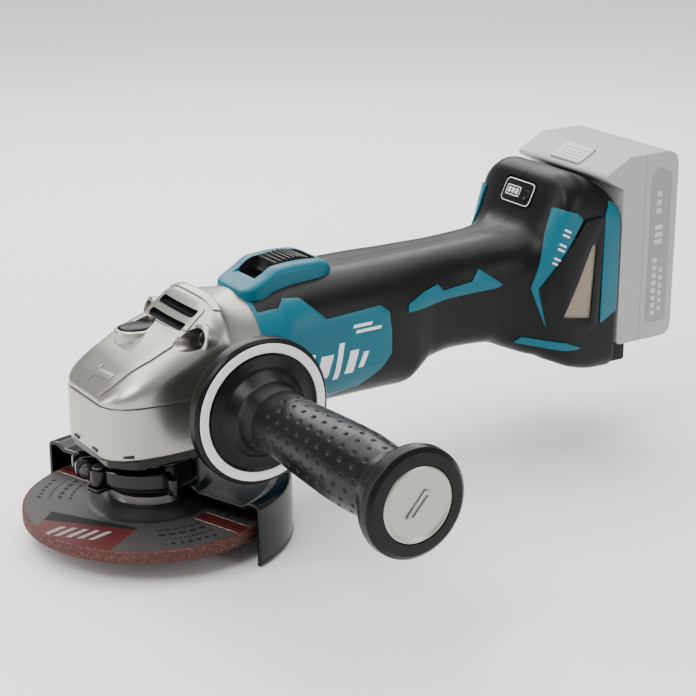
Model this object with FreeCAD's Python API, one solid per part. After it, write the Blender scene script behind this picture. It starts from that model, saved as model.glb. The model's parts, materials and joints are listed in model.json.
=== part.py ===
"""Cordless angle grinder for a 125 mm wheel, built as separate pieces in millimetres.

The origin is on the spindle axis at the wheel's grinding face. +X runs back along the tool to the
battery, +Z is up and the side handle points to -Y.
"""
import FreeCAD, Part
import math
import os

os.makedirs("parts", exist_ok=True)

V = FreeCAD.Vector
X = V(1, 0, 0)
Y = V(0, 1, 0)
Z = V(0, 0, 1)

# ---------------------------------------------------------------- fits
running = 0.05          # radial clearance of a part that turns or slides in another
easy = 0.3              # clearance around buttons and covers
skin = 1.2              # thickness of trim laid on the handle shells

# ---------------------------------------------------------------- wheel and spindle line
wheel_radius = 62.5
wheel_thickness = 6.0
wheel_bore = 11.115
wheel_dish = 5.0        # how far the centre is set up from the grinding face
wheel_dish_in = 23.5
wheel_dish_out = 31.0
thread_radius = 7.0
thread_end = -4.0
flange_radius = 20.0
flange_height = 6.0
pilot_height = 3.0
nut_height = 6.5
nut_hole_circle = 15.0
nut_hole_radius = 2.5
spindle_seat = 8.5
spindle_tip = 4.0
lower_bearing_radius = 17.5
lower_bearing_width = 10.0
upper_bearing_radius = 9.5
upper_bearing_width = 6.0
retainer_height = 3.0
retainer_bore = 13.0

# ---------------------------------------------------------------- bevel gears
motor_height = 73.0     # motor axis above the grinding face
pinion_teeth = 11
crown_teeth = 37
cone_out = 26.0
cone_in = 17.0
pressure_angle = 20.0
backlash = 0.15         # taken off each gear's tooth at the outer cone
crown_addendum = 0.60
crown_dedendum = 1.40
pinion_addendum = 1.20
pinion_dedendum = 0.85
web_top = 62.0
hub_bottom = 44.0
hub_radius = 12.0
lock_circle = 13.0
lock_holes = 12
lock_pin_radius = 1.5
lock_hole_radius = 1.9

# ---------------------------------------------------------------- gear head
collar_wall = 4.5
collar_gap = 2.0        # between the inner flange and the collar
collar_lip = 3.0
plate_bottom = 36.0
head_bottom = 40.0
head_front = -33.0
head_rear = 48.0
gear_room_radius = 27.0
gear_room_top = 71.0
pinion_room_radius = 10.5
handle_axis_x = 26.7
handle_axis_z = 67.0
boss_radius = 11.0
boss_face = 40.0
stud_radius = 4.0
boss_hole_depth = 14.0
button_centre_y = 8.0
button_long = 9.0
button_wide = 7.0
button_floor = 85.0
button_travel = 4.0
button_thickness = 3.4
vent_half_width = 17.0
vent_height = 2.8
vent_levels = (96.0, 101.4)

# ---------------------------------------------------------------- motor
shaft_radius = 4.0
shaft_tip = 2.5
motor_bearing_radius = 11.0
motor_bearing_width = 7.0
front_bearing_x = 30.0
motor_radius = 32.8
motor_wall = 4.0
motor_length = 95.0
fan_radius = 27.0
fan_x = 42.0
fan_blades = 12
baffle_x = 53.0
stator_x = 70.0
stator_length = 30.0
air_gap = 0.6
rotor_radius = 13.4
coil_count = 6
board_x = 115.0
bulkhead_x = 118.5
bulkhead = 3.0
lead_radius = 1.2
lead_spacing = 6.0
lead_rise = 20.0
screw_circle = 30.8
screw_side = 24.5
low_screw_side = 20.0
screw_radius = 1.8
screw_head = 3.5

# ---------------------------------------------------------------- handle
grip_length = 119.0
shell_wall = 3.0
foot_length = 15.0
foot_half_width = 30.0
foot_gap = 0.7
overmould_top = 110.5
overmould_half = 30.0
overmould_front = 64.0
surround_front = 49.0
surround_rear = 97.0
surround_half = 15.0
surround_top = 117.5
knob_length = 26.0
knob_half = 8.0
knob_top = 118.2
knob_travel = 6.0
link_half = 3.0
unit_offset = 15.0
link_height = 2.3
block_half = 20.0
block_low = 60.0
block_high = 112.0
block_reach = 10.0
blade_half = 0.4
blade_side = 12.0
blade_reach = 5.0
panel_half = 13.0
panel_length = 15.0
panel_thickness = 1.8
panel_seat = 1.0
check_radius = 2.6
check_side = -8.0

# ---------------------------------------------------------------- guard
guard_gap = 5.9           # between the wheel and the inside of the guard
guard_sheet = 1.6
guard_low = -11.0
guard_plate_top = 20.0
guard_start = -70.0
guard_sweep = 180.0
band_sheet = 2.6
band_height = 14.0
lug_angle = 165.0
lug_gap = 5.0
lug_sheet = 4.0
lug_reach = 37.0
clamp_screw_radius = 2.0
lever_angle = 192.0
lever_sweep = 70.0
lever_pin_radius = 1.8
lever_low = 22.6
lever_high = 31.0

# ---------------------------------------------------------------- side handle
handle_flange = 35.5
ring_outer = 32.9
ring_inner = 29.5
flange_back = 58.0
flange_front = 66.0
grip_end = 191.0
end_flange = 25.0
cap_radius = 17.0
washer_height = 2.0

# ---------------------------------------------------------------- battery
pack_gap = 2.0
pack_depth = 38.0
pack_half = 37.5
pack_low = 47.0
pack_high = 150.5
pack_wall = 2.5
pack_front_depth = 15.5
cell_radius = 9.1
cell_length = 65.0
cell_count = 5
button_half = 12.0
button_length = 13.0
pack_button_thickness = 3.4
pack_button_travel = 2.0
pack_button_well = 5.4

# ---------------------------------------------------------------- worked out from the above
guard_radius = wheel_radius + guard_gap + guard_sheet
collar_radius = lower_bearing_radius + collar_wall
lever_inner = collar_radius + 5.0
lever_outer = lever_inner + 3.4
lever_circle = lever_inner + 4.0
wheel_top = wheel_dish + wheel_thickness
flange_top = wheel_top + flange_height
collar_bottom = flange_top + collar_gap
bearing_bottom = collar_bottom + collar_lip
bearing_top = bearing_bottom + lower_bearing_width
upper_bearing_top = button_floor - 4.0
upper_bearing_bottom = upper_bearing_top - upper_bearing_width
motor_rear = head_rear + motor_length
motor_bore = motor_radius - motor_wall
grip_rear = motor_rear + grip_length
front_bearing_end = front_bearing_x + motor_bearing_width
rear_bearing_x = bulkhead_x + bulkhead
pack_front = grip_rear + pack_gap
pack_rear = pack_front + pack_depth
screw_rise = math.sqrt(screw_circle ** 2 - screw_side ** 2)
low_screw_drop = math.sqrt(screw_circle ** 2 - low_screw_side ** 2)
crown_cone = math.degrees(math.atan2(crown_teeth, pinion_teeth))
pinion_cone = 90.0 - crown_cone
outer_module = 2.0 * cone_out * math.sin(math.radians(crown_cone)) / crown_teeth


# ---------------------------------------------------------------- building blocks
def rod(radius, length, start, axis=Z):
    return Part.makeCylinder(radius, length, V(*start), axis)


def tube(outer, inner, length, start, axis=Z):
    return rod(outer, length, start, axis).cut(rod(inner, length, start, axis))


def block(x0, x1, y0, y1, z0, z1):
    return Part.makeBox(x1 - x0, y1 - y0, z1 - z0, V(x0, y0, z0))


def motor_rod(radius, x0, x1):
    """A cylinder on the motor axis."""
    return rod(radius, x1 - x0, (x0, 0, motor_height), X)


def motor_tube(outer, inner, x0, x1):
    return motor_rod(outer, x0, x1).cut(motor_rod(inner, x0, x1))


def turned(profile):
    """A solid of revolution about Z from (radius, height) corners."""
    corners = [V(radius, 0, height) for radius, height in profile]
    face = Part.Face(Part.makePolygon(corners + corners[:1]))
    return face.revolve(V(0, 0, 0), Z, 360)


def prism(outline, y0, y1):
    """A plate with an outline of (x, z) corners, from y0 to y1."""
    corners = [V(x, y0, z) for x, z in outline]
    face = Part.Face(Part.makePolygon(corners + corners[:1]))
    return face.extrude(V(0, y1 - y0, 0))


def rounded_section(x, half, low, high, low_round, high_round):
    """A closed outline across the tool, with round lower and upper corners."""
    cos45 = math.sqrt(0.5)

    def corner(side, centre_z, radius, up, inward_first):
        centre = V(x, side * (half - radius), centre_z)
        outer = centre + V(0, side * radius, 0)
        end = centre + V(0, 0, up * radius)
        middle = centre + V(0, side * radius * cos45, up * radius * cos45)
        if inward_first:
            return Part.Arc(end, middle, outer).toShape(), end, outer
        return Part.Arc(outer, middle, end).toShape(), outer, end

    arcs = [
        corner(1, low + low_round, low_round, -1, True),
        corner(1, high - high_round, high_round, 1, False),
        corner(-1, high - high_round, high_round, 1, True),
        corner(-1, low + low_round, low_round, -1, False),
    ]
    edges = []
    for index, (arc, _, end) in enumerate(arcs):
        edges.append(arc)
        following = arcs[(index + 1) % 4][1]
        edges.append(Part.LineSegment(end, following).toShape())
    return Part.Wire(edges)


def lofted(sections):
    return Part.makeLoft([rounded_section(*each) for each in sections], True, True)


def grown(sections, amount):
    """The same sections moved out by amount, or in where it is negative."""
    return [(x, half + amount, low - amount, high + amount, max(low_round + amount, 1.0),
             max(high_round + amount, 1.0)) for x, half, low, high, low_round, high_round in sections]


def turn_z(shape, angle):
    copy = shape.copy()
    copy.rotate(V(0, 0, 0), Z, angle)
    return copy


def turn_motor(shape, angle):
    copy = shape.copy()
    copy.rotate(V(0, 0, motor_height), X, angle)
    return copy


def mirrored(shape):
    return shape.mirror(V(0, 0, 0), Y)


def fuse(shapes):
    return shapes[0].multiFuse(shapes[1:]).removeSplitter()


def ball_bearing(bore, outer, width, start, axis):
    """Inner ring, outer ring and balls as separate solids."""
    race = (outer - bore) * 0.28
    middle = (outer + bore) / 2.0
    ball = (outer - bore) / 2.0 - race * 0.55
    groove = Part.makeTorus(middle, ball + running, V(0, 0, width / 2.0), Z)
    inner_ring = tube(bore + race, bore, width, (0, 0, 0)).cut(groove)
    outer_ring = tube(outer, outer - race, width, (0, 0, 0)).cut(groove)
    count = int(math.pi * middle / (ball * 1.25))
    balls = []
    for index in range(count):
        angle = 2.0 * math.pi * index / count
        centre = V(middle * math.cos(angle), middle * math.sin(angle), width / 2.0)
        balls.append(Part.makeSphere(ball, centre))
    group = Part.Compound([inner_ring, outer_ring] + balls)
    group.Placement = FreeCAD.Placement(V(*start), FreeCAD.Rotation(Z, axis))
    return group


def save(node, shape):
    shape.exportStep("parts/" + node + ".step")


# ---------------------------------------------------------------- bevel teeth
def involute_turn(cone, base):
    """How far a spherical involute has wound round at a cone angle, both in radians."""
    if cone <= base:
        return 0.0
    roll = math.acos(math.cos(cone) / math.cos(base))
    phase = roll / math.sin(base)
    across = math.sin(base) * math.cos(phase) * math.cos(roll) + math.sin(phase) * math.sin(roll)
    along = math.sin(base) * math.sin(phase) * math.cos(roll) - math.cos(phase) * math.sin(roll)
    return math.atan2(along, across)


def bevel_tooth(teeth, cone_degrees, addendum, dedendum, place):
    """One tooth between the inner and outer cones; place puts a direction on the gear."""
    cone = math.radians(cone_degrees)
    base = math.asin(math.sin(cone) * math.cos(math.radians(pressure_angle)))
    root = cone - math.atan(dedendum * outer_module / cone_out) - math.radians(0.8)
    tip = cone + math.atan(addendum * outer_module / cone_out)
    thinned = backlash / 2.0 / (cone_out * math.sin(cone))
    pitch_half = math.pi / (2.0 * teeth) - thinned
    pitch_turn = involute_turn(cone, base)
    steps = 6
    cones = [root + (tip - root) * step / steps for step in range(steps + 1)]
    halves = [pitch_half + pitch_turn - involute_turn(each, base) for each in cones]
    outline = [(each, half) for each, half in zip(cones, halves)]
    outline += [(each, -half) for each, half in reversed(list(zip(cones, halves)))]
    normal = place(cone, 0.0)
    apex = V(0, 0, motor_height)
    ends = []
    for distance in (cone_in, cone_out):
        corners = []
        for each, half in outline:
            ray = place(each, half)
            corners.append(apex + ray * (distance / ray.dot(normal)))
        ends.append(Part.makePolygon(corners + corners[:1]))
    return Part.makeLoft(ends, True, True)


def crown_place(turn):
    def place(cone, half):
        angle = turn + half
        return V(math.sin(cone) * math.cos(angle), math.sin(cone) * math.sin(angle), -math.cos(cone))
    return place


def pinion_place(turn):
    def place(cone, half):
        angle = turn + half
        return V(math.cos(cone), math.sin(cone) * math.sin(angle), -math.sin(cone) * math.cos(angle))
    return place


def root_corner(distance, cone_degrees, dedendum):
    """Radius and distance from the apex along the axis, on the root cone."""
    root = math.radians(cone_degrees) - math.atan(dedendum * outer_module / cone_out)
    return distance * math.sin(root), distance * math.cos(root)


# ---------------------------------------------------------------- spindle line
def build_spindle_line():
    groove = 0.7
    ring_height = 1.2
    spindle = turned([
        (0, thread_end), (thread_radius, thread_end), (thread_radius, flange_top),
        (spindle_seat, flange_top), (spindle_seat, hub_bottom), (thread_radius, hub_bottom),
        (thread_radius, web_top), (thread_radius - groove, web_top),
        (thread_radius - groove, web_top + ring_height), (thread_radius, web_top + ring_height),
        (thread_radius, web_top + 3.0), (spindle_tip, web_top + 4.0),
        (spindle_tip, upper_bearing_top), (0, upper_bearing_top)])
    save("spindle", spindle)

    ring = tube(thread_radius + 1.8, thread_radius - groove, ring_height, (0, 0, web_top))
    ring = ring.cut(block(0, 12, -1.5, 1.5, web_top, web_top + ring_height))
    save("gear_retaining_ring", ring)

    outer_radius, outer_drop = root_corner(cone_out, crown_cone, crown_dedendum)
    inner_radius, inner_drop = root_corner(cone_in, crown_cone, crown_dedendum)
    web_radius = inner_radius - 0.3
    blank = turned([
        (thread_radius, hub_bottom), (hub_radius, hub_bottom), (hub_radius, web_top - 7.0),
        (outer_radius - 3.0, web_top - 5.0), (outer_radius, motor_height - outer_drop),
        (inner_radius, motor_height - inner_drop), (web_radius, web_top), (thread_radius, web_top)])
    teeth = []
    for index in range(crown_teeth):
        turn = 2.0 * math.pi * index / crown_teeth
        teeth.append(bevel_tooth(crown_teeth, crown_cone, crown_addendum, crown_dedendum, crown_place(turn)))
    holes = []
    for index in range(lock_holes):
        angle = 2.0 * math.pi * index / lock_holes
        spot = (lock_circle * math.cos(angle), lock_circle * math.sin(angle), hub_bottom)
        holes.append(rod(lock_hole_radius, web_top, spot))
    save("crown_gear", blank.multiFuse(teeth).cut(Part.Compound(holes)))

    flange = turned([
        (thread_radius, wheel_top - pilot_height), (wheel_bore, wheel_top - pilot_height),
        (wheel_bore, wheel_top), (flange_radius, wheel_top), (flange_radius, flange_top - 2.0),
        (flange_radius - 3.0, flange_top), (thread_radius, flange_top)])
    save("inner_flange", flange)

    wheel = turned([
        (wheel_bore, wheel_dish), (wheel_dish_in, wheel_dish), (wheel_dish_out, 0),
        (wheel_radius, 0), (wheel_radius, wheel_thickness), (wheel_dish_out - 1.0, wheel_thickness),
        (wheel_dish_in - 1.0, wheel_top), (wheel_bore, wheel_top)])
    save("grinding_wheel", wheel)

    nut_bottom = wheel_dish - nut_height
    nut = turned([
        (thread_radius, nut_bottom), (flange_radius - 2.0, nut_bottom),
        (flange_radius - 0.5, nut_bottom + 1.5), (flange_radius - 0.5, wheel_dish),
        (thread_radius, wheel_dish)])
    spanner_holes = []
    for index in range(4):
        angle = math.radians(45.0 + 90.0 * index)
        spot = (nut_hole_circle * math.cos(angle), nut_hole_circle * math.sin(angle), nut_bottom)
        spanner_holes.append(rod(nut_hole_radius, nut_height - 2.0, spot))
    save("lock_nut", nut.cut(Part.Compound(spanner_holes)))


# ---------------------------------------------------------------- gear head
HEAD_SECTIONS = [
    # x, half width, low, high, low corner, high corner
    (head_front, 17.0, head_bottom, 66.0, 1.5, 5.0),
    (-31.0, 22.0, head_bottom, 70.0, 1.5, 7.0),
    (-26.0, 27.0, head_bottom, 75.5, 1.5, 9.0),
    (-17.0, 30.5, head_bottom, 82.0, 2.0, 12.0),
    (-5.0, 32.0, head_bottom, 88.5, 2.0, 15.0),
    (8.0, 32.5, head_bottom, 95.0, 3.0, 17.0),
    (19.0, 33.0, head_bottom, 103.5, 4.0, 20.0),
    (28.0, 33.2, head_bottom, 108.0, 10.0, 24.0),
    (38.0, 33.5, head_bottom, 107.5, 20.0, 30.0),
    (head_rear, 33.5, head_bottom, 106.5, 32.0, 33.0),
]

HEAD_SCREWS = [
    # x of the head's front, y, z
    (20.0, screw_side, motor_height + screw_rise),
    (20.0, -screw_side, motor_height + screw_rise),
    (26.0, low_screw_side, motor_height - low_screw_drop),
    (26.0, -low_screw_side, motor_height - low_screw_drop),
]
HEAD_SCREW_END = 60.0

BOX_SCREWS = [(-20.5, 21.5), (-20.5, -21.5), (19.5, 24.5), (19.5, -24.5)]
BOX_SCREW_TOP = 52.0
BOX_SCREW_HEAD = 3.0


def oval(centre_y, long_half, wide_half, low, high):
    ring = Part.Ellipse(V(0, centre_y, low), long_half, wide_half).toShape()
    return Part.Face(Part.Wire([ring])).extrude(V(0, 0, high - low))


def build_gear_head():
    housing = lofted(HEAD_SECTIONS)
    for side in (1, -1):
        housing = housing.fuse(rod(boss_radius, boss_face - 26.0, (handle_axis_x, side * 26.0, handle_axis_z),
                                   V(0, side, 0)))
    cuts = [
        rod(gear_room_radius, gear_room_top - head_bottom, (0, 0, head_bottom)),
        rod(upper_bearing_radius, upper_bearing_top - gear_room_top, (0, 0, gear_room_top)),
        motor_rod(pinion_room_radius, 12.5, front_bearing_x),
        motor_rod(motor_bearing_radius, front_bearing_x, fan_x - 2.0),
        motor_rod(motor_bore, fan_x - 2.0, head_rear),
        oval(button_centre_y, button_long + easy, button_wide + easy, button_floor, motor_height + 40.0),
        rod(lock_pin_radius + running, button_floor - gear_room_top, (0, lock_circle, gear_room_top)),
    ]
    for level in vent_levels:
        cuts.append(block(-5, fan_x, -vent_half_width, vent_half_width, level, level + vent_height))
    for side in (1, -1):
        cuts.append(rod(stud_radius + running, boss_hole_depth,
                        (handle_axis_x, side * boss_face, handle_axis_z), V(0, -side, 0)))
    for x, y, z in HEAD_SCREWS:
        head_end = x + screw_head
        cuts.append(rod(screw_radius, head_rear - head_end, (head_end, y, z), X))
        cuts.append(rod(screw_head + easy, 5.5, (head_end - 5.5, y, z), X))
        if z > motor_height:
            cuts.append(rod(screw_head + easy, 24.0, (head_end - 24.0, y, z), X))
        else:
            reach = screw_head + easy
            cuts.append(block(head_end - 5.5, head_end, y - reach, y + reach, head_bottom, z))
    for x, y in BOX_SCREWS:
        cuts.append(rod(screw_radius, BOX_SCREW_TOP - head_bottom, (x, y, head_bottom)))
    save("gear_housing", housing.cut(Part.Compound(cuts)))

    screws = []
    for x, y, z in HEAD_SCREWS:
        head = rod(screw_head, screw_head, (x, y, z), X).cut(rod(1.6, 2.0, (x, y, z), X))
        head_end = x + screw_head
        screws.append(head.fuse(rod(screw_radius, HEAD_SCREW_END - head_end, (head_end, y, z), X)))
    save("gear_housing_screws", Part.Compound(screws))

    plate = block(head_front + 2.0, 27.0, -29.5, 29.5, plate_bottom, head_bottom)
    plate = plate.common(rod(36.0, 10.0, (0, 0, plate_bottom - 2.0)))
    box = plate.fuse(rod(collar_radius, plate_bottom - collar_bottom, (0, 0, collar_bottom)))
    box = box.cut(rod(lower_bearing_radius, head_bottom - bearing_bottom, (0, 0, bearing_bottom)))
    box = box.cut(rod(spindle_seat + 0.7, collar_lip, (0, 0, collar_bottom)))
    box_screws = []
    for x, y in BOX_SCREWS:
        head = rod(screw_head, BOX_SCREW_HEAD, (x, y, plate_bottom))
        shank = rod(screw_radius, BOX_SCREW_TOP - plate_bottom - BOX_SCREW_HEAD,
                    (x, y, plate_bottom + BOX_SCREW_HEAD))
        box = box.cut(head.fuse(shank))
        box_screws.append(head.cut(rod(1.5, 2.0, (x, y, plate_bottom))).fuse(shank))
    save("bearing_box", box)
    save("bearing_box_screws", Part.Compound(box_screws))

    save("bearing_retainer", tube(lower_bearing_radius, retainer_bore, retainer_height, (0, 0, bearing_top)))
    save("lower_spindle_bearing", ball_bearing(spindle_seat + running, lower_bearing_radius,
                                               lower_bearing_width, (0, 0, bearing_bottom), Z))
    save("upper_spindle_bearing", ball_bearing(spindle_tip + running, upper_bearing_radius,
                                               upper_bearing_width, (0, 0, upper_bearing_bottom), Z))

    cap_bottom = button_floor + button_travel + 0.2
    cap = oval(button_centre_y, button_long, button_wide, cap_bottom, cap_bottom + button_thickness)
    save("lock_button", cap)
    pin_bottom = web_top + 1.0
    save("lock_pin", rod(lock_pin_radius, cap_bottom - pin_bottom, (0, lock_circle, pin_bottom)))
    save("lock_spring", tube(3.0, 2.3, cap_bottom - button_floor, (0, button_centre_y - 1.0, button_floor)))


# ---------------------------------------------------------------- motor
def build_motor():
    shaft = fuse([
        motor_rod(shaft_tip, 16.6, 28.0),
        motor_rod(shaft_radius, 28.0, rear_bearing_x + motor_bearing_width)])
    save("rotor_shaft", shaft)

    outer_radius, outer_x = root_corner(cone_out, pinion_cone, pinion_dedendum)
    inner_radius, inner_x = root_corner(cone_in, pinion_cone, pinion_dedendum)
    corners = [(inner_x, shaft_tip), (inner_x, inner_radius), (outer_x, outer_radius),
               (28.0, outer_radius), (28.0, shaft_tip)]
    points = [V(x, 0, motor_height + radius) for x, radius in corners]
    blank = Part.Face(Part.makePolygon(points + points[:1])).revolve(V(0, 0, motor_height), X, 360)
    teeth = []
    for index in range(pinion_teeth):
        turn = 2.0 * math.pi * (index + 0.5) / pinion_teeth
        teeth.append(bevel_tooth(pinion_teeth, pinion_cone, pinion_addendum, pinion_dedendum,
                                 pinion_place(turn)))
    save("pinion_gear", blank.multiFuse(teeth))

    hub = motor_tube(7.0, shaft_radius, fan_x, fan_x + 9.0)
    disc = motor_tube(fan_radius, 6.0, fan_x + 1.0, fan_x + 3.0)
    blades = []
    for index in range(fan_blades):
        blade_low, blade_high = motor_height + 11.0, motor_height + fan_radius - 1.0
        blade = block(fan_x + 3.0, fan_x + 9.0, -0.8, 0.8, blade_low, blade_high)
        blade.rotate(V(0, 0, motor_height + 11.0), X, 35.0)
        blade = blade.common(motor_rod(fan_radius - 0.5, fan_x, fan_x + 9.0))
        blades.append(turn_motor(blade, 360.0 * index / fan_blades))
    save("cooling_fan", hub.multiFuse([disc] + blades))

    save("rotor_core", motor_tube(rotor_radius, shaft_radius, stator_x + 2.0, stator_x + stator_length - 2.0))

    baffle = motor_tube(motor_bore, shaft_radius + 10.0, baffle_x, baffle_x + 2.5)
    save("fan_baffle", baffle)

    stator_end = stator_x + stator_length
    coils = []
    for index in range(coil_count):
        coil = block(stator_x - 5.0, stator_end + 5.0, -4.5, 4.5, motor_height + 17.0, motor_height + 24.5)
        coil = coil.cut(block(stator_x, stator_end, -2.0, 2.0, motor_height + 17.0, motor_height + 24.5))
        coils.append(turn_motor(coil, 360.0 * (index + 0.5) / coil_count))
    core = motor_tube(motor_bore, rotor_radius + air_gap, stator_x, stator_end)
    save("stator_core", core.cut(Part.Compound(coils)))
    save("stator_coils", Part.Compound(coils))

    leads = []
    for index in (-1, 0, 1):
        spot = (board_x - 2.0, index * lead_spacing, motor_height + lead_rise)
        leads.append(rod(lead_radius, motor_rear + 5.0 - spot[0], spot, X))
    lead_group = Part.Compound(leads)
    board = motor_tube(motor_bore - 1.5, 11.0, board_x, board_x + 1.6).cut(lead_group)
    save("sensor_board", board)
    save("motor_leads", lead_group)

    housing = motor_tube(motor_radius, motor_bore, head_rear, motor_rear)
    bulk = motor_rod(motor_bore, bulkhead_x, rear_bearing_x)
    hub = motor_rod(motor_bearing_radius + 3.0, rear_bearing_x, rear_bearing_x + motor_bearing_width)
    housing = fuse([housing, bulk, hub])
    cuts = [motor_rod(shaft_radius + 1.0, bulkhead_x, rear_bearing_x),
            motor_rod(motor_bearing_radius, rear_bearing_x, rear_bearing_x + motor_bearing_width + 1.0),
            lead_group]
    for _, y, z in HEAD_SCREWS:
        cuts.append(rod(screw_radius, HEAD_SCREW_END - head_rear, (head_rear, y, z), X))
    for cut in cuts:
        housing = housing.cut(cut)
    save("motor_housing", housing)
    bearings = []
    for x in (front_bearing_x, rear_bearing_x):
        bearings.append(ball_bearing(shaft_radius + running, motor_bearing_radius, motor_bearing_width,
                                     (x, 0, motor_height), X))
    save("motor_bearings", Part.Compound(bearings))

    over = lofted([(overmould_front, overmould_half, 86.0, overmould_top, 1.0, 22.0),
                   (motor_rear, overmould_half, 86.0, overmould_top, 1.0, 22.0)])
    over = over.cut(motor_rod(motor_radius, overmould_front - 1.0, motor_rear + 1.0))
    over = over.cut(block(surround_front, surround_rear, -surround_half, surround_half, 90, 125))
    over = over.cut(block(surround_rear, motor_rear, -link_half - 0.8, link_half + 0.8, 100,
                          motor_height + motor_radius + link_height + 1.0))
    over = over.common(block(0, motor_rear, -overmould_half, overmould_half, motor_height + 12.0, 120))
    save("motor_overmould", over)


# ---------------------------------------------------------------- switch
def build_switch():
    link_low = motor_height + motor_radius + 0.4
    link_high = link_low + link_height
    knob_rear = surround_rear - 7.0
    knob_front = knob_rear - knob_length
    surround = block(surround_front, surround_rear, -surround_half, surround_half, 98, surround_top)
    upright = [edge for edge in surround.Edges if abs(edge.tangentAt(0).z) > 0.9]
    surround = surround.makeFillet(6.0, upright)
    ramp = prism([(surround_front - 1, surround_top + 1), (surround_front - 1, 108),
                  (surround_front + 9, surround_top + 1)],
                 -surround_half - 1, surround_half + 1)
    tail = prism([(surround_rear + 1, surround_top + 1), (surround_rear + 1, 110),
                  (surround_rear - 7, surround_top + 1)],
                 -surround_half - 1, surround_half + 1)
    well = block(knob_front - knob_travel - 0.5, knob_rear + 0.5, -knob_half - 0.5, knob_half + 0.5, 90, 130)
    for cut in (ramp, tail, well, motor_rod(motor_radius, 40, 110),
                block(knob_rear, surround_rear, -link_half - 0.8, link_half + 0.8, 100, link_high + 0.6)):
        surround = surround.cut(cut)
    save("switch_surround", surround)

    knob = block(knob_front, knob_rear, -knob_half, knob_half, link_high, knob_top)
    ribs = []
    for index in range(6):
        x = knob_front + 4.0 + index * 3.4
        ribs.append(block(x, x + 1.4, -knob_half, knob_half, knob_top - 1.0, knob_top))
    dip = prism([(knob_front - 1, link_high + 3), (knob_front + 6, knob_top + 1),
                 (knob_front - 1, knob_top + 1)],
                -knob_half - 1, knob_half + 1)
    save("switch_knob", knob.cut(Part.Compound(ribs)).cut(dip))

    unit_front = motor_rear + unit_offset
    save("switch_link", block(knob_front + 4.0, unit_front - 0.3, -link_half, link_half, link_low, link_high))
    save("switch_unit", block(unit_front, unit_front + 24.0, -9, 9, 98.5, link_low + 0.8))


# ---------------------------------------------------------------- handle
HANDLE_SECTIONS = [
    # x, half width, low, high, low corner, high corner
    (motor_rear, 29.0, 44.0, 111.0, 14.0, 24.0),
    (motor_rear + 9.0, 26.5, 53.0, 111.0, 16.0, 20.0),
    (motor_rear + 27.0, 25.5, 56.0, 111.0, 16.0, 20.0),
    (grip_rear - 70.0, 26.0, 55.0, 112.0, 16.0, 20.0),
    (grip_rear - 55.0, 29.0, 49.0, 112.5, 14.0, 20.0),
    (grip_rear - 44.0, 33.5, 46.0, 118.0, 12.0, 20.0),
    (grip_rear - 33.0, 37.0, 41.0, 141.0, 10.0, 18.0),
    (grip_rear - 26.0, 37.5, 38.0, 143.0, 9.0, 18.0),
    (grip_rear - 12.0, 37.5, 34.5, 138.5, 9.0, 18.0),
    (grip_rear, 37.5, 34.0, 131.0, 9.0, 18.0),
]
HANDLE_SCREWS = [
    (motor_rear + 18.0, 64.5), (grip_rear - 80.0, 64.5), (grip_rear - 38.5, 54.0), (grip_rear - 19.0, 124.0),
]
BOSS_RADIUS = 4.0
HANDLE_SCREW_RADIUS = 1.6
HANDLE_SCREW_HEAD = 3.0

ACCENT = [(-130.0, 87.0), (-130.0, 91.0), (-119.0, 95.2), (-109.0, 96.7), (-106.0, 93.0), (-87.0, 94.6),
          (-82.0, 100.3), (-68.0, 90.3)]
STRIPE = [(-37.0, 128.0), (-29.2, 124.7), (-46.5, 88.0), (-43.0, 65.5), (-52.0, 86.7)]
COVER = [(-24.0, 119.5), (-14.0, 119.5), (-18.0, 60.0), (-24.0, 58.0), (-43.0, 64.5)]
MESH = [(-20.5, 106.0), (-22.0, 66.0), (-34.0, 69.4)]
REAR_BAND = 11.0


def slope_placement(centre):
    """Puts a shape drawn flat at the origin on the slope in front of the hump."""
    run = HANDLE_SECTIONS[6][0] - HANDLE_SECTIONS[5][0]
    rise = HANDLE_SECTIONS[6][3] - HANDLE_SECTIONS[5][3]
    return FreeCAD.Placement(centre, FreeCAD.Rotation(Y, -math.degrees(math.atan2(rise, run))))


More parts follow.
